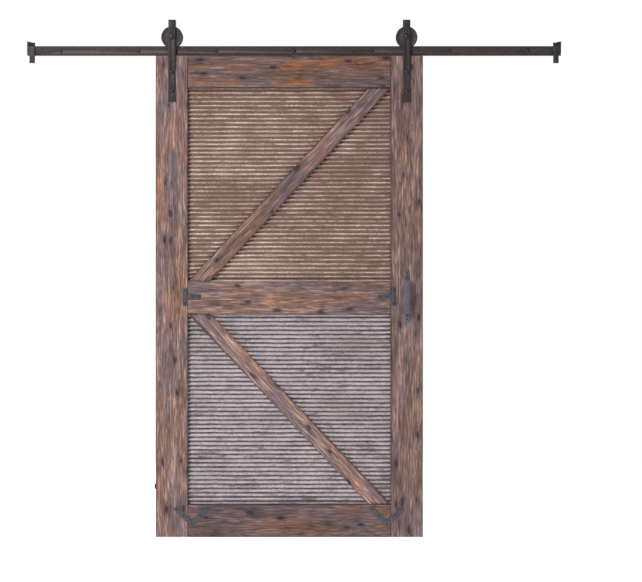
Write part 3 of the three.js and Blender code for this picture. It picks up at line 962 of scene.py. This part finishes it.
@dataclass
class Track:
    """Flat rail, its spacer sleeves and its lag bolts."""

    metals: Metals
    bolts: int = 7
    hole: float = 5.3 * MM
    sleeve: float = 10 * MM
    shank: float = 5 * MM
    flange: float = 9 * MM
    crown: float = 7.2 * MM

    def build(self) -> None:
        """Makes every piece of the track."""
        places = [middle_of(f"wall_spacer_{number}") for number in range(1, self.bolts + 1)]
        self._rail(places)
        self._sleeves(places)
        self._lag_bolts(places)

    def _rail(self, places: Sequence[Vector]) -> None:
        """Planes, drills and softens the flat bar."""
        low, high = corners_of("track_rail")
        middle = (low + high) / 2
        rail = Workpiece.block("flat_rail", low, high)
        for place in places:
            spot = Vector((place.x, middle.y, middle.z))
            rail.drill(spot, self.hole)
        rail.soften(0.8 * MM)
        rail.done(self.metals.rail, Body.TRACK, "rail_paint", "track_rail")

    def _sleeves(self, places: Sequence[Vector]) -> None:
        """Turns one spacer sleeve and copies it."""
        low, high = corners_of("wall_spacer_1")
        ease = 0.8 * MM
        profile = [
            (self.hole, low.y), (self.sleeve - ease, low.y), (self.sleeve, low.y + ease),
            (self.sleeve, high.y - ease), (self.sleeve - ease, high.y), (self.hole, high.y), (self.hole, low.y),
        ]
        first = Workpiece.turned("spacer_1", profile, Vector((places[0].x, 0, 0)), 32)
        copies = [first.twin(f"spacer_{n}", place - places[0]) for n, place in enumerate(places[1:], 2)]
        for number, sleeve in enumerate([first, *copies], 1):
            sleeve.done(self.metals.strap, Body.TRACK, "blackened_steel", f"wall_spacer_{number}")

    def _lag_bolts(self, places: Sequence[Vector]) -> None:
        """Turns one lag bolt with a flanged dome and a screw thread, and copies it."""
        low, high = corners_of("lag_bolt_1")
        seat = corners_of("track_rail")[0].y - SLACK
        rim = seat - 1.4 * MM
        head = dome(self.crown, rim - low.y, rim, 0.5 * MM)
        collar = [(self.flange - 0.4 * MM, rim), (self.flange, rim + 0.5 * MM), (self.flange, seat)]
        screw = thread(self.shank, 2 * MM, high.y - 9 * MM, 3 * MM)
        profile = [*head, *collar, (self.shank, seat), *screw, (0.4 * MM, high.y - 0.4 * MM), (0, high.y)]
        first = Workpiece.turned("lag_1", profile, Vector((places[0].x, 0, 0)), 24)
        copies = [first.twin(f"lag_{n}", place - places[0]) for n, place in enumerate(places[1:], 2)]
        for number, bolt in enumerate([first, *copies], 1):
            bolt.done(self.metals.black, Body.TRACK, "blackened_steel", f"lag_bolt_{number}")


@dataclass
class EndStop:
    """Clamped stop at one end of the rail: saddle, rubber bumper, cap bolt and nut.

    Distances called inset are measured inward from the rail's end.
    """

    side: Side
    metals: Metals
    length: float = 36 * MM
    plate: float = 6 * MM
    bottom: float = -22.7 * MM
    corner: float = 16 * MM
    lug: float = 18 * MM
    lug_top: float = 41 * MM
    jaw_bottom: float = -16 * MM
    bridge_top: float = 27 * MM
    bolt_inset: float = 9 * MM
    bolt_height: float = 32.5 * MM
    bolt: float = 4 * MM
    bolt_head: float = 8.4 * MM
    socket: float = 3.8 * MM
    tab: tuple[float, float] = (12.5 * MM, 37 * MM)
    tab_top: float = -12 * MM

    def build(self) -> None:
        """Makes the stop's four pieces."""
        self._saddle()
        self._bumper()
        self._cap_bolt()
        nut = f"stop_nut_{self.side.label}"
        clamp = hex_nut(f"clamp_nut_{self.side.label}", nut, self.bolt)
        clamp.done(self.metals.black, Body.TRACK, "blackened_steel", nut)

    def _at(self, inset: float) -> float:
        """X of a place at some inset from the rail's end."""
        low, high = corners_of("track_rail")
        return low.x + inset if self.side is Side.LEFT else high.x - inset

    def _bar(
        self, name: str, insets: tuple[float, float], ys: tuple[float, float], zs: tuple[float, float]
    ) -> Workpiece:
        """A block between two insets, two depths and two heights."""
        xs = sorted(self._at(inset) for inset in insets)
        return Workpiece.block(name, Vector((xs[0], ys[0], zs[0])), Vector((xs[1], ys[1], zs[1])))

    def _jaw(self, name: str, bottom: float, corner: float, front: float) -> Workpiece:
        """One jaw with its lug and peaked outer corner, sawn from plate."""
        top = corners_of("track_rail")[1].z
        peak = corners_of(f"end_stop_{self.side.label}")[1].z
        corners = [
            (self._at(0), bottom, corner), (self._at(self.length), bottom, 1.5 * MM),
            (self._at(self.length), top, 1.5 * MM), (self._at(self.lug), top, 0),
            (self._at(self.lug), self.lug_top, 2 * MM), (self._at(self.lug / 3), self.lug_top, 0),
            (self._at(0), peak, 1 * MM),
        ]
        points = [Vector((x, front, z)) for x, z in eased(corners)]
        return Workpiece.sawn(name, points, BACKWARD * self.plate)

    def _saddle(self) -> None:
        """Joins two jaws, the bridge over the rail and the tab in front of the door."""
        node = f"end_stop_{self.side.label}"
        low, _ = corners_of(node)
        rail_low, rail_high = corners_of("track_rail")
        front = rail_low.y - SLACK - self.plate
        rear = rail_high.y + SLACK
        saddle = self._jaw(f"saddle_{self.side.label}", self.bottom, self.corner, front)
        saddle.boolean(self._jaw("rear_jaw", self.jaw_bottom, 4 * MM, rear), "UNION")
        depth = (front + MM, rear + self.plate - MM)
        heights = (rail_high.z + SLACK, self.bridge_top)
        saddle.boolean(self._bar("bridge", (0, self.lug), depth, heights), "UNION")
        step = (low.y + self.plate - MM, front + MM)
        saddle.boolean(self._bar("step", self.tab, step, (self.bottom + MM, self.tab_top)), "UNION")
        tab = self._bar("tab", self.tab, (low.y, low.y + self.plate), (low.z, self.tab_top))
        saddle.boolean(tab, "UNION")
        spot = Vector((self._at(self.bolt_inset), (front + rear) / 2, self.bolt_height))
        saddle.drill(spot, self.bolt + SLACK)
        saddle.soften(0.8 * MM)
        saddle.done(self.metals.cast, Body.TRACK, "wheel_iron", node)

    def _bumper(self) -> None:
        """Moulds the rubber block with its clamped tongue."""
        node = f"stop_bumper_{self.side.label}"
        low, high = corners_of(node)
        rail_low, rail_high = corners_of("track_rail")
        insets = sorted(abs(x - self._at(0)) for x in (low.x, high.x))
        name = f"rubber_bumper_{self.side.label}"
        block = self._bar(name, (self.lug + SLACK, insets[1]), (low.y, high.y), (low.z, high.z))
        block.soften(2 * MM, 3)
        heights = (self.bridge_top + SLACK, high.z - 0.1 * MM)
        tongue = self._bar("tongue", (insets[0], self.lug + 3 * MM), (rail_low.y, rail_high.y), heights)
        block.boolean(tongue, "UNION")
        spot = Vector((self._at(self.bolt_inset), (low.y + high.y) / 2, self.bolt_height))
        block.drill(spot, self.bolt + SLACK)
        block.done(self.metals.rubber, Body.TRACK, "rubber", node)

    def _cap_bolt(self) -> None:
        """Turns the round socketed bolt that clamps the jaws."""
        node = f"stop_bolt_{self.side.label}"
        low, high = corners_of(node)
        seat = corners_of("track_rail")[0].y - 2 * SLACK - self.plate
        head, socket = self.bolt_head, self.socket
        profile = [
            (0, low.y + 4.4 * MM), (socket * 0.8, low.y + 4 * MM), (socket, low.y + 0.6 * MM),
            (socket + 0.6 * MM, low.y), (head - MM, low.y), (head - 0.3 * MM, low.y + 0.3 * MM),
            (head, low.y + MM), (head, seat), (self.bolt, seat),
            *thread(self.bolt, seat + 20 * MM, high.y - MM, 1.25 * MM), (0, high.y),
        ]
        centre = Vector((self._at(self.bolt_inset), 0, self.bolt_height))
        bolt = Workpiece.turned(f"cap_bolt_{self.side.label}", profile, centre, 32)
        bolt.done(self.metals.black, Body.TRACK, "blackened_steel", node)


def hex_nut(name: str, node: str, bolt: float) -> Workpiece:
    """Makes a chamfered hexagonal nut in a CAD nut's place.

    Args:
        name: The new piece's name.
        node: The CAD nut.
        bolt: Radius of the bolt through it.

    Returns:
        The workpiece.
    """
    low, high = corners_of(node)
    middle = (low + high) / 2
    radius, half = (high - low).z / 2, (high - low).y / 2
    nut = Workpiece.drum(name, middle, radius, half * 2, 6)
    rim = [(0, -half), (radius * 0.86, -half), (radius * 1.02, -half * 0.72)]
    mirrored = [(r, -y) for r, y in reversed(rim)]
    nut.boolean(Workpiece.turned("chamfer", [*rim, *mirrored], middle, 48), "INTERSECT")
    nut.drill(middle, bolt + SLACK)
    nut.soften(0.25 * MM, 1)
    return nut


# ------------------------------------------------------------------------------- hangers and wheels


@dataclass
class Hanger:
    """Flat strap folded over one wheel, with its axle and its two bolts through the stile."""

    side: Side
    metals: Metals
    thickness: float = 6 * MM
    bend: float = 12 * MM
    rear_end: float = 40 * MM
    axle: float = 6 * MM
    bolt: float = 5 * MM

    def build(self) -> None:
        """Makes the strap, bolts and nuts."""
        numbers = (1, 2) if self.side is Side.LEFT else (3, 4)
        self._strap(numbers)
        self._axle_bolt()
        node = f"axle_nut_{self.side.label}"
        nut = hex_nut(f"lock_nut_{self.side.label}", node, self.axle)
        nut.done(self.metals.zinc, Body.DOOR, "zinc", node)
        for number in numbers:
            self._carriage_bolt(number)
            node = f"strap_nut_{number}"
            hex_nut(f"carriage_nut_{number}", node, self.bolt).done(self.metals.zinc, Body.DOOR, "zinc", node)

    def _strap(self, numbers: tuple[int, int]) -> None:
        """Bends the bar over the wheel and drills it."""
        node = f"hanger_strap_{self.side.label}"
        low, high = corners_of(node)
        wall, inner = self.thickness, self.bend - self.thickness
        corners = [
            (low.y, low.z, 0), (low.y, high.z, self.bend), (high.y, high.z, self.bend),
            (high.y, self.rear_end, 0), (high.y - wall, self.rear_end, 0), (high.y - wall, high.z - wall, inner),
            (low.y + wall, high.z - wall, inner), (low.y + wall, low.z, 0),
        ]
        points = [Vector((low.x, y, z)) for y, z in eased(corners, 8)]
        strap = Workpiece.sawn(f"strap_{self.side.label}", points, ALONG * (high.x - low.x))
        middle = (low + high) / 2
        holes = [(middle_of(f"axle_bolt_{self.side.label}").z, self.axle)]
        holes += [(middle_of(f"strap_bolt_{number}").z, self.bolt) for number in numbers]
        for height, radius in holes:
            spot = Vector((middle.x, middle.y, height))
            strap.drill(spot, radius + SLACK)
        strap.soften(0.8 * MM)
        strap.done(self.metals.strap, Body.DOOR, "blackened_steel", node)

    def _axle_bolt(self) -> None:
        """Turns the wide flat-domed axle bolt."""
        node = f"axle_bolt_{self.side.label}"
        low, high = corners_of(node)
        middle = (low + high) / 2
        radius = (high - low).z / 2
        seat = corners_of(f"hanger_strap_{self.side.label}")[0].y - SLACK
        collar = seat - 1.6 * MM
        nut_back = corners_of(f"axle_nut_{self.side.label}")[1].y
        profile = [
            *dome(radius * 0.74, collar - low.y, collar, 0.4 * MM), (radius * 0.96, collar),
            (radius, collar + 0.6 * MM), (radius, seat), (self.axle, seat),
            *thread(self.axle, nut_back, high.y - 0.3 * MM, 0.8 * MM), (0, high.y),
        ]
        bolt = Workpiece.turned(f"axle_{self.side.label}", profile, Vector((middle.x, 0, middle.z)), 40)
        bolt.done(self.metals.black, Body.DOOR, "blackened_steel", node)

    def _carriage_bolt(self, number: int) -> None:
        """Turns one domed bolt through strap and stile."""
        node = f"strap_bolt_{number}"
        low, high = corners_of(node)
        middle = (low + high) / 2
        seat = corners_of(f"hanger_strap_{self.side.label}")[0].y - SLACK
        nut_back = corners_of(f"strap_nut_{number}")[1].y
        profile = [
            *dome((high - low).z / 2, seat - low.y, seat, 0.9 * MM), (self.bolt, seat),
            *thread(self.bolt, nut_back, high.y - 0.2 * MM, 0.6 * MM), (0, high.y),
        ]
        bolt = Workpiece.turned(f"carriage_bolt_{number}", profile, Vector((middle.x, 0, middle.z)), 32)
        bolt.done(self.metals.black, Body.DOOR, "blackened_steel", node)


@dataclass
class Wheel:
    """Grooved cast wheel and the bearing pressed into it."""

    side: Side
    metals: Metals
    bore: float = 17.3 * MM
    boss: float = 23 * MM
    recess: float = 0.8 * MM
    rim: float = 44 * MM
    groove: float = 39.8 * MM
    groove_half: float = 4 * MM
    lip_half: float = 8.5 * MM
    race_bore: float = 6.3 * MM
    hub: float = 10 * MM
    ring_half: float = 8 * MM

    def build(self) -> None:
        """Makes the wheel and its bearing."""
        body = Body[f"WHEEL_{self.side.name}"]
        self._disc(body)
        self._bearing(body)

    def _disc(self, body: Body) -> None:
        """Spins the wheel about its axle."""
        node = f"wheel_{self.side.label}"
        low, high = corners_of(node)
        radius, half = (high - low).z / 2, (high - low).y / 2
        ease = 1.4 * MM
        front = [
            (self.bore, -half + 0.6 * MM), (self.bore + 0.6 * MM, -half), (self.boss, -half),
            (self.boss + 1.2 * MM, -half + self.recess), (self.rim - 1.2 * MM, -half + self.recess),
            (self.rim, -half), (radius - ease, -half), (radius - 0.4 * ease, -half + 0.35 * ease),
            (radius, -half + ease), (radius, -self.lip_half - 0.5 * MM),
            (radius - 0.5 * MM, -self.lip_half), (self.groove + MM, -self.groove_half - 0.6 * MM),
            (self.groove, -self.groove_half + 0.4 * MM),
        ]
        back = [(r, -y) for r, y in reversed(front)]
        wheel = Workpiece.turned(f"roller_{self.side.label}", [*front, *back, front[0]], (low + high) / 2, 96)
        wheel.done(self.metals.cast, body, "wheel_iron", node)

    def _bearing(self, body: Body) -> None:
        """Spins the bearing with its shields and long inner race."""
        node = f"wheel_bearing_{self.side.label}"
        low, high = corners_of(node)
        ring, race = (high - low).z / 2, (high - low).y / 2
        ease = 0.5 * MM
        shield = self.ring_half - 0.7 * MM
        front = [
            (self.race_bore, -race), (self.hub - ease, -race), (self.hub, -race + ease), (self.hub, -shield),
            (ring - 2.6 * MM, -shield), (ring - 2.2 * MM, -self.ring_half), (ring - ease, -self.ring_half),
            (ring, -self.ring_half + ease),
        ]
        back = [(r, -y) for r, y in reversed(front)]
        bearing = Workpiece.turned(f"bearing_{self.side.label}", [*front, *back, front[0]], (low + high) / 2, 48)
        bearing.done(self.metals.bearing, body, "bearing_steel", node)


# ------------------------------------------------------------------------------------- door frame


@dataclass
class DoorFrame:
    """Stiles, rails, braces and the battens behind the panels."""

    rails: tuple[str, ...] = ("top_rail", "mid_rail", "bottom_rail")
    arris: float = 2 * MM
    tenon: float = 12 * MM
    shoulder: float = 20 * MM
    mortise: float = 60.3 * MM
    bolt_hole: float = 5.3 * MM
    brace_end: float = 102.5 * MM
    step: float = 70 * MM
    wave: float = 60 * MM
    wave_height: float = 0.5 * MM
    batten_arris: float = 1.2 * MM
    batten_wave_height: float = 0.4 * MM
    seed: float = 3.0
    looks: dict[str, dict[str, float]] = field(default_factory=lambda: {
        "left_stile": {"amber_share": 0.25, "tan_share": 0.65},
        "right_stile": {"amber_share": 0.15, "tan_share": 0.45, "light": 0.92},
        "top_rail": {"amber_share": 0.8, "blue_share": 0.3, "tan_share": 0.3, "line_share": 0.5, "light": 0.75},
        "mid_rail": {"amber_share": 0.35, "blue_share": 0.2, "tan_share": 0.6},
        "bottom_rail": {"amber_share": 0.3, "blue_share": 0.6, "stain_share": 0.7, "tan_share": 0.3, "light": 0.65},
        "upper_brace": {"tan_share": 0.45, "light": 0.9},
        "lower_brace": {"tan_share": 0.75, "amber_share": 0.35, "light": 1.1},
    })

    def build(self) -> None:
        """Makes every board."""
        self._stile(Side.LEFT, (1, 2))
        self._stile(Side.RIGHT, (3, 4))
        for name in self.rails:
            self._rail(name)
        self._brace("upper_brace", Grain.RISING)
        self._brace("lower_brace", Grain.FALLING)
        for level in ("upper", "lower"):
            for side in Side:
                self._batten(f"{level}_batten_{side.label}")

    def _finish(self, name: str, grain: Grain, half_width: float) -> bpy.types.Material:
        """A board's own wood, with its look and a pattern of its own."""
        self.seed += 5.3
        look = self.looks.get(name, {"tan_share": 0.3, "stain_share": 0.2})
        return WornBoard(f"{name}_wood", grain, self.seed, middle_of(name), half_width, **look).build()

    def _wavy(self, board: Workpiece, low: Vector, high: Vector, axis: Vector) -> None:
        """Cuts a board across at even steps, so that it can be uneven along its length."""
        count = round((high - low).dot(axis) / self.step)
        for index in range(1, count):
            board.slice(low + (high - low) * (index / count), axis)

    def _stile(self, side: Side, bolts: tuple[int, int]) -> None:
        """Planes, mortises and drills one upright board.

        Args:
            side: The stile's side.
            bolts: The numbers of the strap bolts that pass through it.
        """
        name = f"{side.label}_stile"
        low, high = corners_of(name)
        inner = high.x if side is Side.LEFT else low.x
        middle = (low + high) / 2
        half = self.tenon / 2 + SLACK
        stile = Workpiece.block(f"{side.label}_upright", low, high)
        self._wavy(stile, low, high, UP)
        for y in (middle.y - half, middle.y + half):
            stile.slice(Vector((0, y, 0)), BACKWARD)
        spans = []
        for rail in self.rails:
            rail_low, rail_high = corners_of(rail)
            spans.append((rail_low.z + self.shoulder - SLACK, rail_high.z - self.shoulder + SLACK))
            for z in spans[-1]:
                stile.slice(Vector((0, 0, z)), UP)

        def in_mortise(place: Vector) -> bool:
            """Whether a face lies on the inner edge where a tenon enters."""
            on_edge = abs(place.x - inner) < SLACK and abs(place.y - middle.y) < half
            return on_edge and any(bottom < place.z < top for bottom, top in spans)

        stile.pick_faces(in_mortise)
        stile.extrude(ALONG * side.value * self.mortise)
        stile.close_up()
        stile.soften(self.arris, 3)
        for number in bolts:
            spot = middle_of(f"strap_bolt_{number}")
            stile.drill(Vector((spot.x, middle.y, spot.z)), self.bolt_hole)
        stile.ripple(self.wave, self.wave_height)
        stile.done(self._finish(name, Grain.UPRIGHT, (high - low).x / 2), Body.DOOR, "frame_wood", name)

    def _rail(self, name: str) -> None:
        """Planes one cross board and cuts its tenons."""
        low, high = corners_of(name)
        middle = (low + high) / 2
        left = corners_of("left_stile")[1].x + SLACK
        right = corners_of("right_stile")[0].x - SLACK
        board_low, board_high = Vector((left, low.y, low.z)), Vector((right, high.y, high.z))
        board = Workpiece.block(name.replace("rail", "crosspiece"), board_low, board_high)
        self._wavy(board, board_low, board_high, ALONG)
        for y in (middle.y - self.tenon / 2, middle.y + self.tenon / 2):
            board.slice(Vector((0, y, 0)), BACKWARD)
        for z in (low.z + self.shoulder, high.z - self.shoulder):
            board.slice(Vector((0, 0, z)), UP)
        height = (high - low).z / 2 - self.shoulder

        def on_tenon(place: Vector, end: float) -> bool:
            """Whether a face lies on an end where the tenon grows out."""
            in_section = abs(place.y - middle.y) < self.tenon / 2 and abs(place.z - middle.z) < height
            return in_section and abs(place.x - end) < SLACK / 2

        for end, tip in ((left, low.x), (right, high.x)):
            board.pick_faces(lambda place, end=end: on_tenon(place, end))
            board.extrude(ALONG * (tip - end))
        board.close_up()
        board.soften(self.arris, 3)
        board.ripple(self.wave, self.wave_height)
        board.done(self._finish(name, Grain.LEVEL, (high - low).z / 2), Body.DOOR, "frame_wood", name)

    def _brace(self, name: str, grain: Grain) -> None:
        """Saws one slanted board to fit corner to corner."""
        low, high = corners_of(name)
        left, right = (low.z, high.z) if grain is Grain.RISING else (high.z, low.z)
        outline = [
            (low.x, left), (low.x + self.brace_end, left),
            (high.x, right), (high.x - self.brace_end, right),
        ]
        points = [Vector((x, low.y, z)) for x, z in outline]
        board = Workpiece.sawn(name.replace("brace", "diagonal"), points, BACKWARD * (high - low).y)
        self._wavy(board, low, high, ALONG)
        board.soften(self.arris, 3)
        board.ripple(self.wave, self.wave_height)
        half_width = self.brace_end * math.sin(abs(math.radians(grain.value))) / 2
        board.done(self._finish(name, grain, half_width), Body.DOOR, "frame_wood", name)

    def _batten(self, name: str) -> None:
        """Planes one thin strip behind a panel's edge."""
        low, high = corners_of(name)
        board = Workpiece.block(name.replace("batten", "strip"), low, high)
        self._wavy(board, low, high, UP)
        board.soften(self.batten_arris)
        board.ripple(self.wave, self.batten_wave_height)
        board.done(self._finish(name, Grain.UPRIGHT, (high - low).x / 2), Body.DOOR, "batten_wood", name)


@dataclass
class MetalPanel:
    """One corrugated sheet with level ridges."""

    level: str
    age: Weathering
    seed: float
    pitch: float = 19.6 * MM
    wall: float = 1.2 * MM
    wave_steps: int = 12
    columns: int = 30
    sag: tuple[float, float] = (110 * MM, 2.4 * MM)
    dents: tuple[float, float] = (70 * MM, 1.4 * MM)

    def build(self) -> None:
        """Rolls one ridge, repeats it up the panel, trims it and gives it its wall."""
        node = f"{self.level}_sheet"
        low, high = corners_of(node)
        count = round((high.z - low.z) / self.pitch * 4) / 4
        rise = (high.z - low.z) / count
        swing = ((high - low).y - self.wall) / 2
        front = low.y + self.wall / 2 + swing
        turns = [step / self.wave_steps for step in range(self.wave_steps + 1)]
        ridge = [Vector((low.x, front - swing * math.cos(2 * math.pi * t), low.z + rise * t)) for t in turns]
        sheet = Workpiece.wire(f"{self.level}_panel", ridge)
        bpy.ops.mesh.select_all(action="SELECT")
        for _ in range(self.columns):
            sheet.extrude(ALONG * ((high.x - low.x) / self.columns))
        sheet.repeat(math.ceil(count), UP * rise)
        bpy.ops.object.mode_set(mode="EDIT")
        sheet.slice(Vector((0, 0, high.z - 1e-6)), UP, drop=True)
        sheet.ripple(*self.sag, "Z")
        sheet.ripple(*self.dents, "Y")
        sheet.thicken(self.wall)
        finish = WeatheredSheet(f"{self.level}_steel", self.age, self.seed, low.y, front + swing).build()
        sheet.done(finish, Body.DOOR, "corrugated_steel", node)


# ------------------------------------------------------------------------------------- ironmongery


@dataclass
class Ironmongery:
    """T-plates, corner brackets, pull handle, their screws and the stud on the door's edge."""

    metals: Metals
    bar: float = 21 * MM
    leg: float = 22 * MM
    arm: float = 118 * MM
    arm_width: float = 22 * MM
    foot: float = 4 * MM
    grip: float = 155 * MM
    grip_bar: float = 5 * MM
    grip_taper: float = 3.5 * MM
    screw: float = 4.2 * MM
    spots: list[Vector] = field(default_factory=list)

    def build(self) -> None:
        """Makes every plate and drives every screw."""
        for side in Side:
            self._t_plate(side)
            self._corner_bracket(side)
        self._handle()
        self._screws()
        self._stud()

    def _t_plate(self, side: Side) -> None:
        """Cuts one T: an upright bar on the stile and a leg over the middle rail."""
        node = f"t_plate_{side.label}"
        low, high = corners_of(node)
        outer, tip = (low.x, high.x) if side is Side.LEFT else (high.x, low.x)
        inner = outer - side.value * self.bar
        middle = (low.z + high.z) / 2
        lower, upper = middle - self.leg / 2, middle + self.leg / 2
        ease = 2 * MM
        corners = [
            (outer, low.z, ease), (inner, low.z, ease), (inner, lower, MM), (tip, lower, ease), (tip, upper, ease),
            (inner, upper, MM), (inner, high.z, ease), (outer, high.z, ease),
        ]
        self._plate(f"t_iron_{side.label}", corners, low.y, high.y, node)
        centre, inset = (outer + inner) / 2, 11 * MM
        self.spots += [Vector((centre, low.y, z)) for z in (low.z + inset, high.z - inset)]
        self.spots += [Vector((tip + side.value * away, low.y, middle)) for away in (inset, 40 * MM)]

    def _corner_bracket(self, side: Side) -> None:
        """Cuts one right angle that stands on its corner."""
        node = f"corner_bracket_{side.label}"
        low, high = corners_of(node)
        foot = Vector(((low.x + high.x) / 2, low.z))

        def turned(out: float, over: float) -> tuple[float, float]:
            """A point of the square bracket, turned by an eighth onto its corner."""
            return foot.x + (out - over) / math.sqrt(2), foot.y + (out + over) / math.sqrt(2)

        arm, width, ease = self.arm, self.arm_width, 2 * MM
        square = [
            (0, 0, ease), (arm, 0, ease), (arm, width, ease), (width, width, MM), (width, arm, ease), (0, arm, ease),
        ]
        corners = [(*turned(out, over), radius) for out, over, radius in square]
        self._plate(f"corner_iron_{side.label}", corners, low.y, high.y, node)
        half = width / 2
        places = [(half, half), (arm - half, half), (half, arm - half), (arm * 0.56, half), (half, arm * 0.56)]
        for out, over in places:
            x, z = turned(out, over)
            self.spots.append(Vector((x, low.y, z)))

    def _plate(
        self, name: str, corners: Sequence[tuple[float, float, float]], front: float, back: float, node: str
    ) -> None:
        """Saws a flat plate from an outline and softens it.

        Args:
            name: The piece's name.
            corners: (x, z, radius) of each corner.
            front: Y of its front face.
            back: Y of its back face.
            node: The CAD node it stands for.
        """
        points = [Vector((x, front, z)) for x, z in eased(corners, 4)]
        plate = Workpiece.sawn(name, points, BACKWARD * (back - front))
        plate.soften(0.5 * MM)
        plate.done(self.metals.plate, Body.DOOR, "plate_iron", node)

    def _handle(self) -> None:
        """Bends the pull from flat bar, with two feet and a grip that stands off the door."""
        low, high = corners_of("pull_handle")
        middle, centre = (low.z + high.z) / 2, (low.x + high.x) / 2
        reach, half = self.grip / 2, (high.z - low.z) / 2
        back = low.y + self.grip_bar
        bend, fold = 5 * MM, 1.2 * MM
        upper = [(high.y, half, 0), (high.y, reach - self.foot, fold), (back, reach - self.grip_bar, fold)]
        outer = [(low.y, reach, bend), (high.y - self.foot, reach, fold), (high.y - self.foot, half, 0)]
        lower = [(y, -z, radius) for y, z, radius in reversed(upper)]
        under = [(y, -z, radius) for y, z, radius in reversed(outer)]
        points = [Vector((low.x, y, middle + z)) for y, z in eased([*upper, *lower, *under, *outer])]
        handle = Workpiece.sawn("door_pull", points, ALONG * (high.x - low.x))
        for sign in (-1, 1):
            handle.pick_points(
                lambda place, sign=sign: place.z > high.z - MM and (place.x - centre) * sign > 0
            )
            handle.move(ALONG * -sign * self.grip_taper)
        handle.soften(0.9 * MM)
        handle.done(self.metals.handle, Body.DOOR, "plate_iron", "pull_handle")
        inset = 12 * MM
        offsets = (half - inset, reach + inset)
        face = high.y - self.foot
        self.spots += [Vector((centre, face, middle + sign * away)) for sign in (1, -1) for away in offsets]

    def _screws(self) -> None:
        """Turns one cross-headed screw and copies it to every hole."""
        start = self.spots[0]
        seat, tip = start.y + 0.2 * MM, start.y + 2.6 * MM
        head = dome(self.screw, 1.8 * MM, seat, 0.5 * MM, 5)
        profile = [*head, (self.screw * 0.5, seat), (self.screw * 0.4, tip), (0, tip)]
        first = Workpiece.turned("wood_screw_1", profile, Vector((start.x, 0, start.z)), 20)
        wide, thin = 2.6 * MM, 0.5 * MM
        for across, up in ((wide, thin), (thin, wide)):
            low = start - Vector((across, 3 * MM, up))
            high = start + Vector((across, -0.7 * MM, up))
            first.boolean(Workpiece.block("slot", low, high))
        others = [first.twin(f"wood_screw_{n}", spot - start) for n, spot in enumerate(self.spots[1:], 2)]
        for screw in [first, *others]:
            screw.done(self.metals.black, Body.DOOR, "blackened_steel")

    def _stud(self) -> None:
        """Turns the small rubber stud on the door's left edge."""
        low, high = corners_of("edge_stud")
        middle = (low + high) / 2
        radius, proud = (high - low).z / 2, (high - low).x
        angles = [index * math.pi / 12 for index in range(7)]
        crown = [(radius * math.sin(a), proud * 0.55 * (1 - math.cos(a))) for a in angles]
        profile = [*crown, (radius, proud - 0.4 * MM), (radius - 0.4 * MM, proud), (0, proud)]
        stud = Workpiece.turned("bumper_stud", profile, Vector((low.x, middle.y, middle.z)), 32, ALONG)
        stud.done(self.metals.rubber, Body.DOOR, "rubber", "edge_stud")


def main() -> None:
    """Builds the studio and the door."""
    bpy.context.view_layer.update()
    Studio().build()
    metals = Metals()
    Track(metals).build()
    for side in Side:
        EndStop(side, metals).build()
        Hanger(side, metals).build()
        Wheel(side, metals).build()
    DoorFrame().build()
    MetalPanel("upper", Weathering.WARM, 2.0).build()
    MetalPanel("lower", Weathering.COOL, 7.0).build()
    Ironmongery(metals).build()
    Workpiece.clear()


if __name__ == "__main__":
    main()
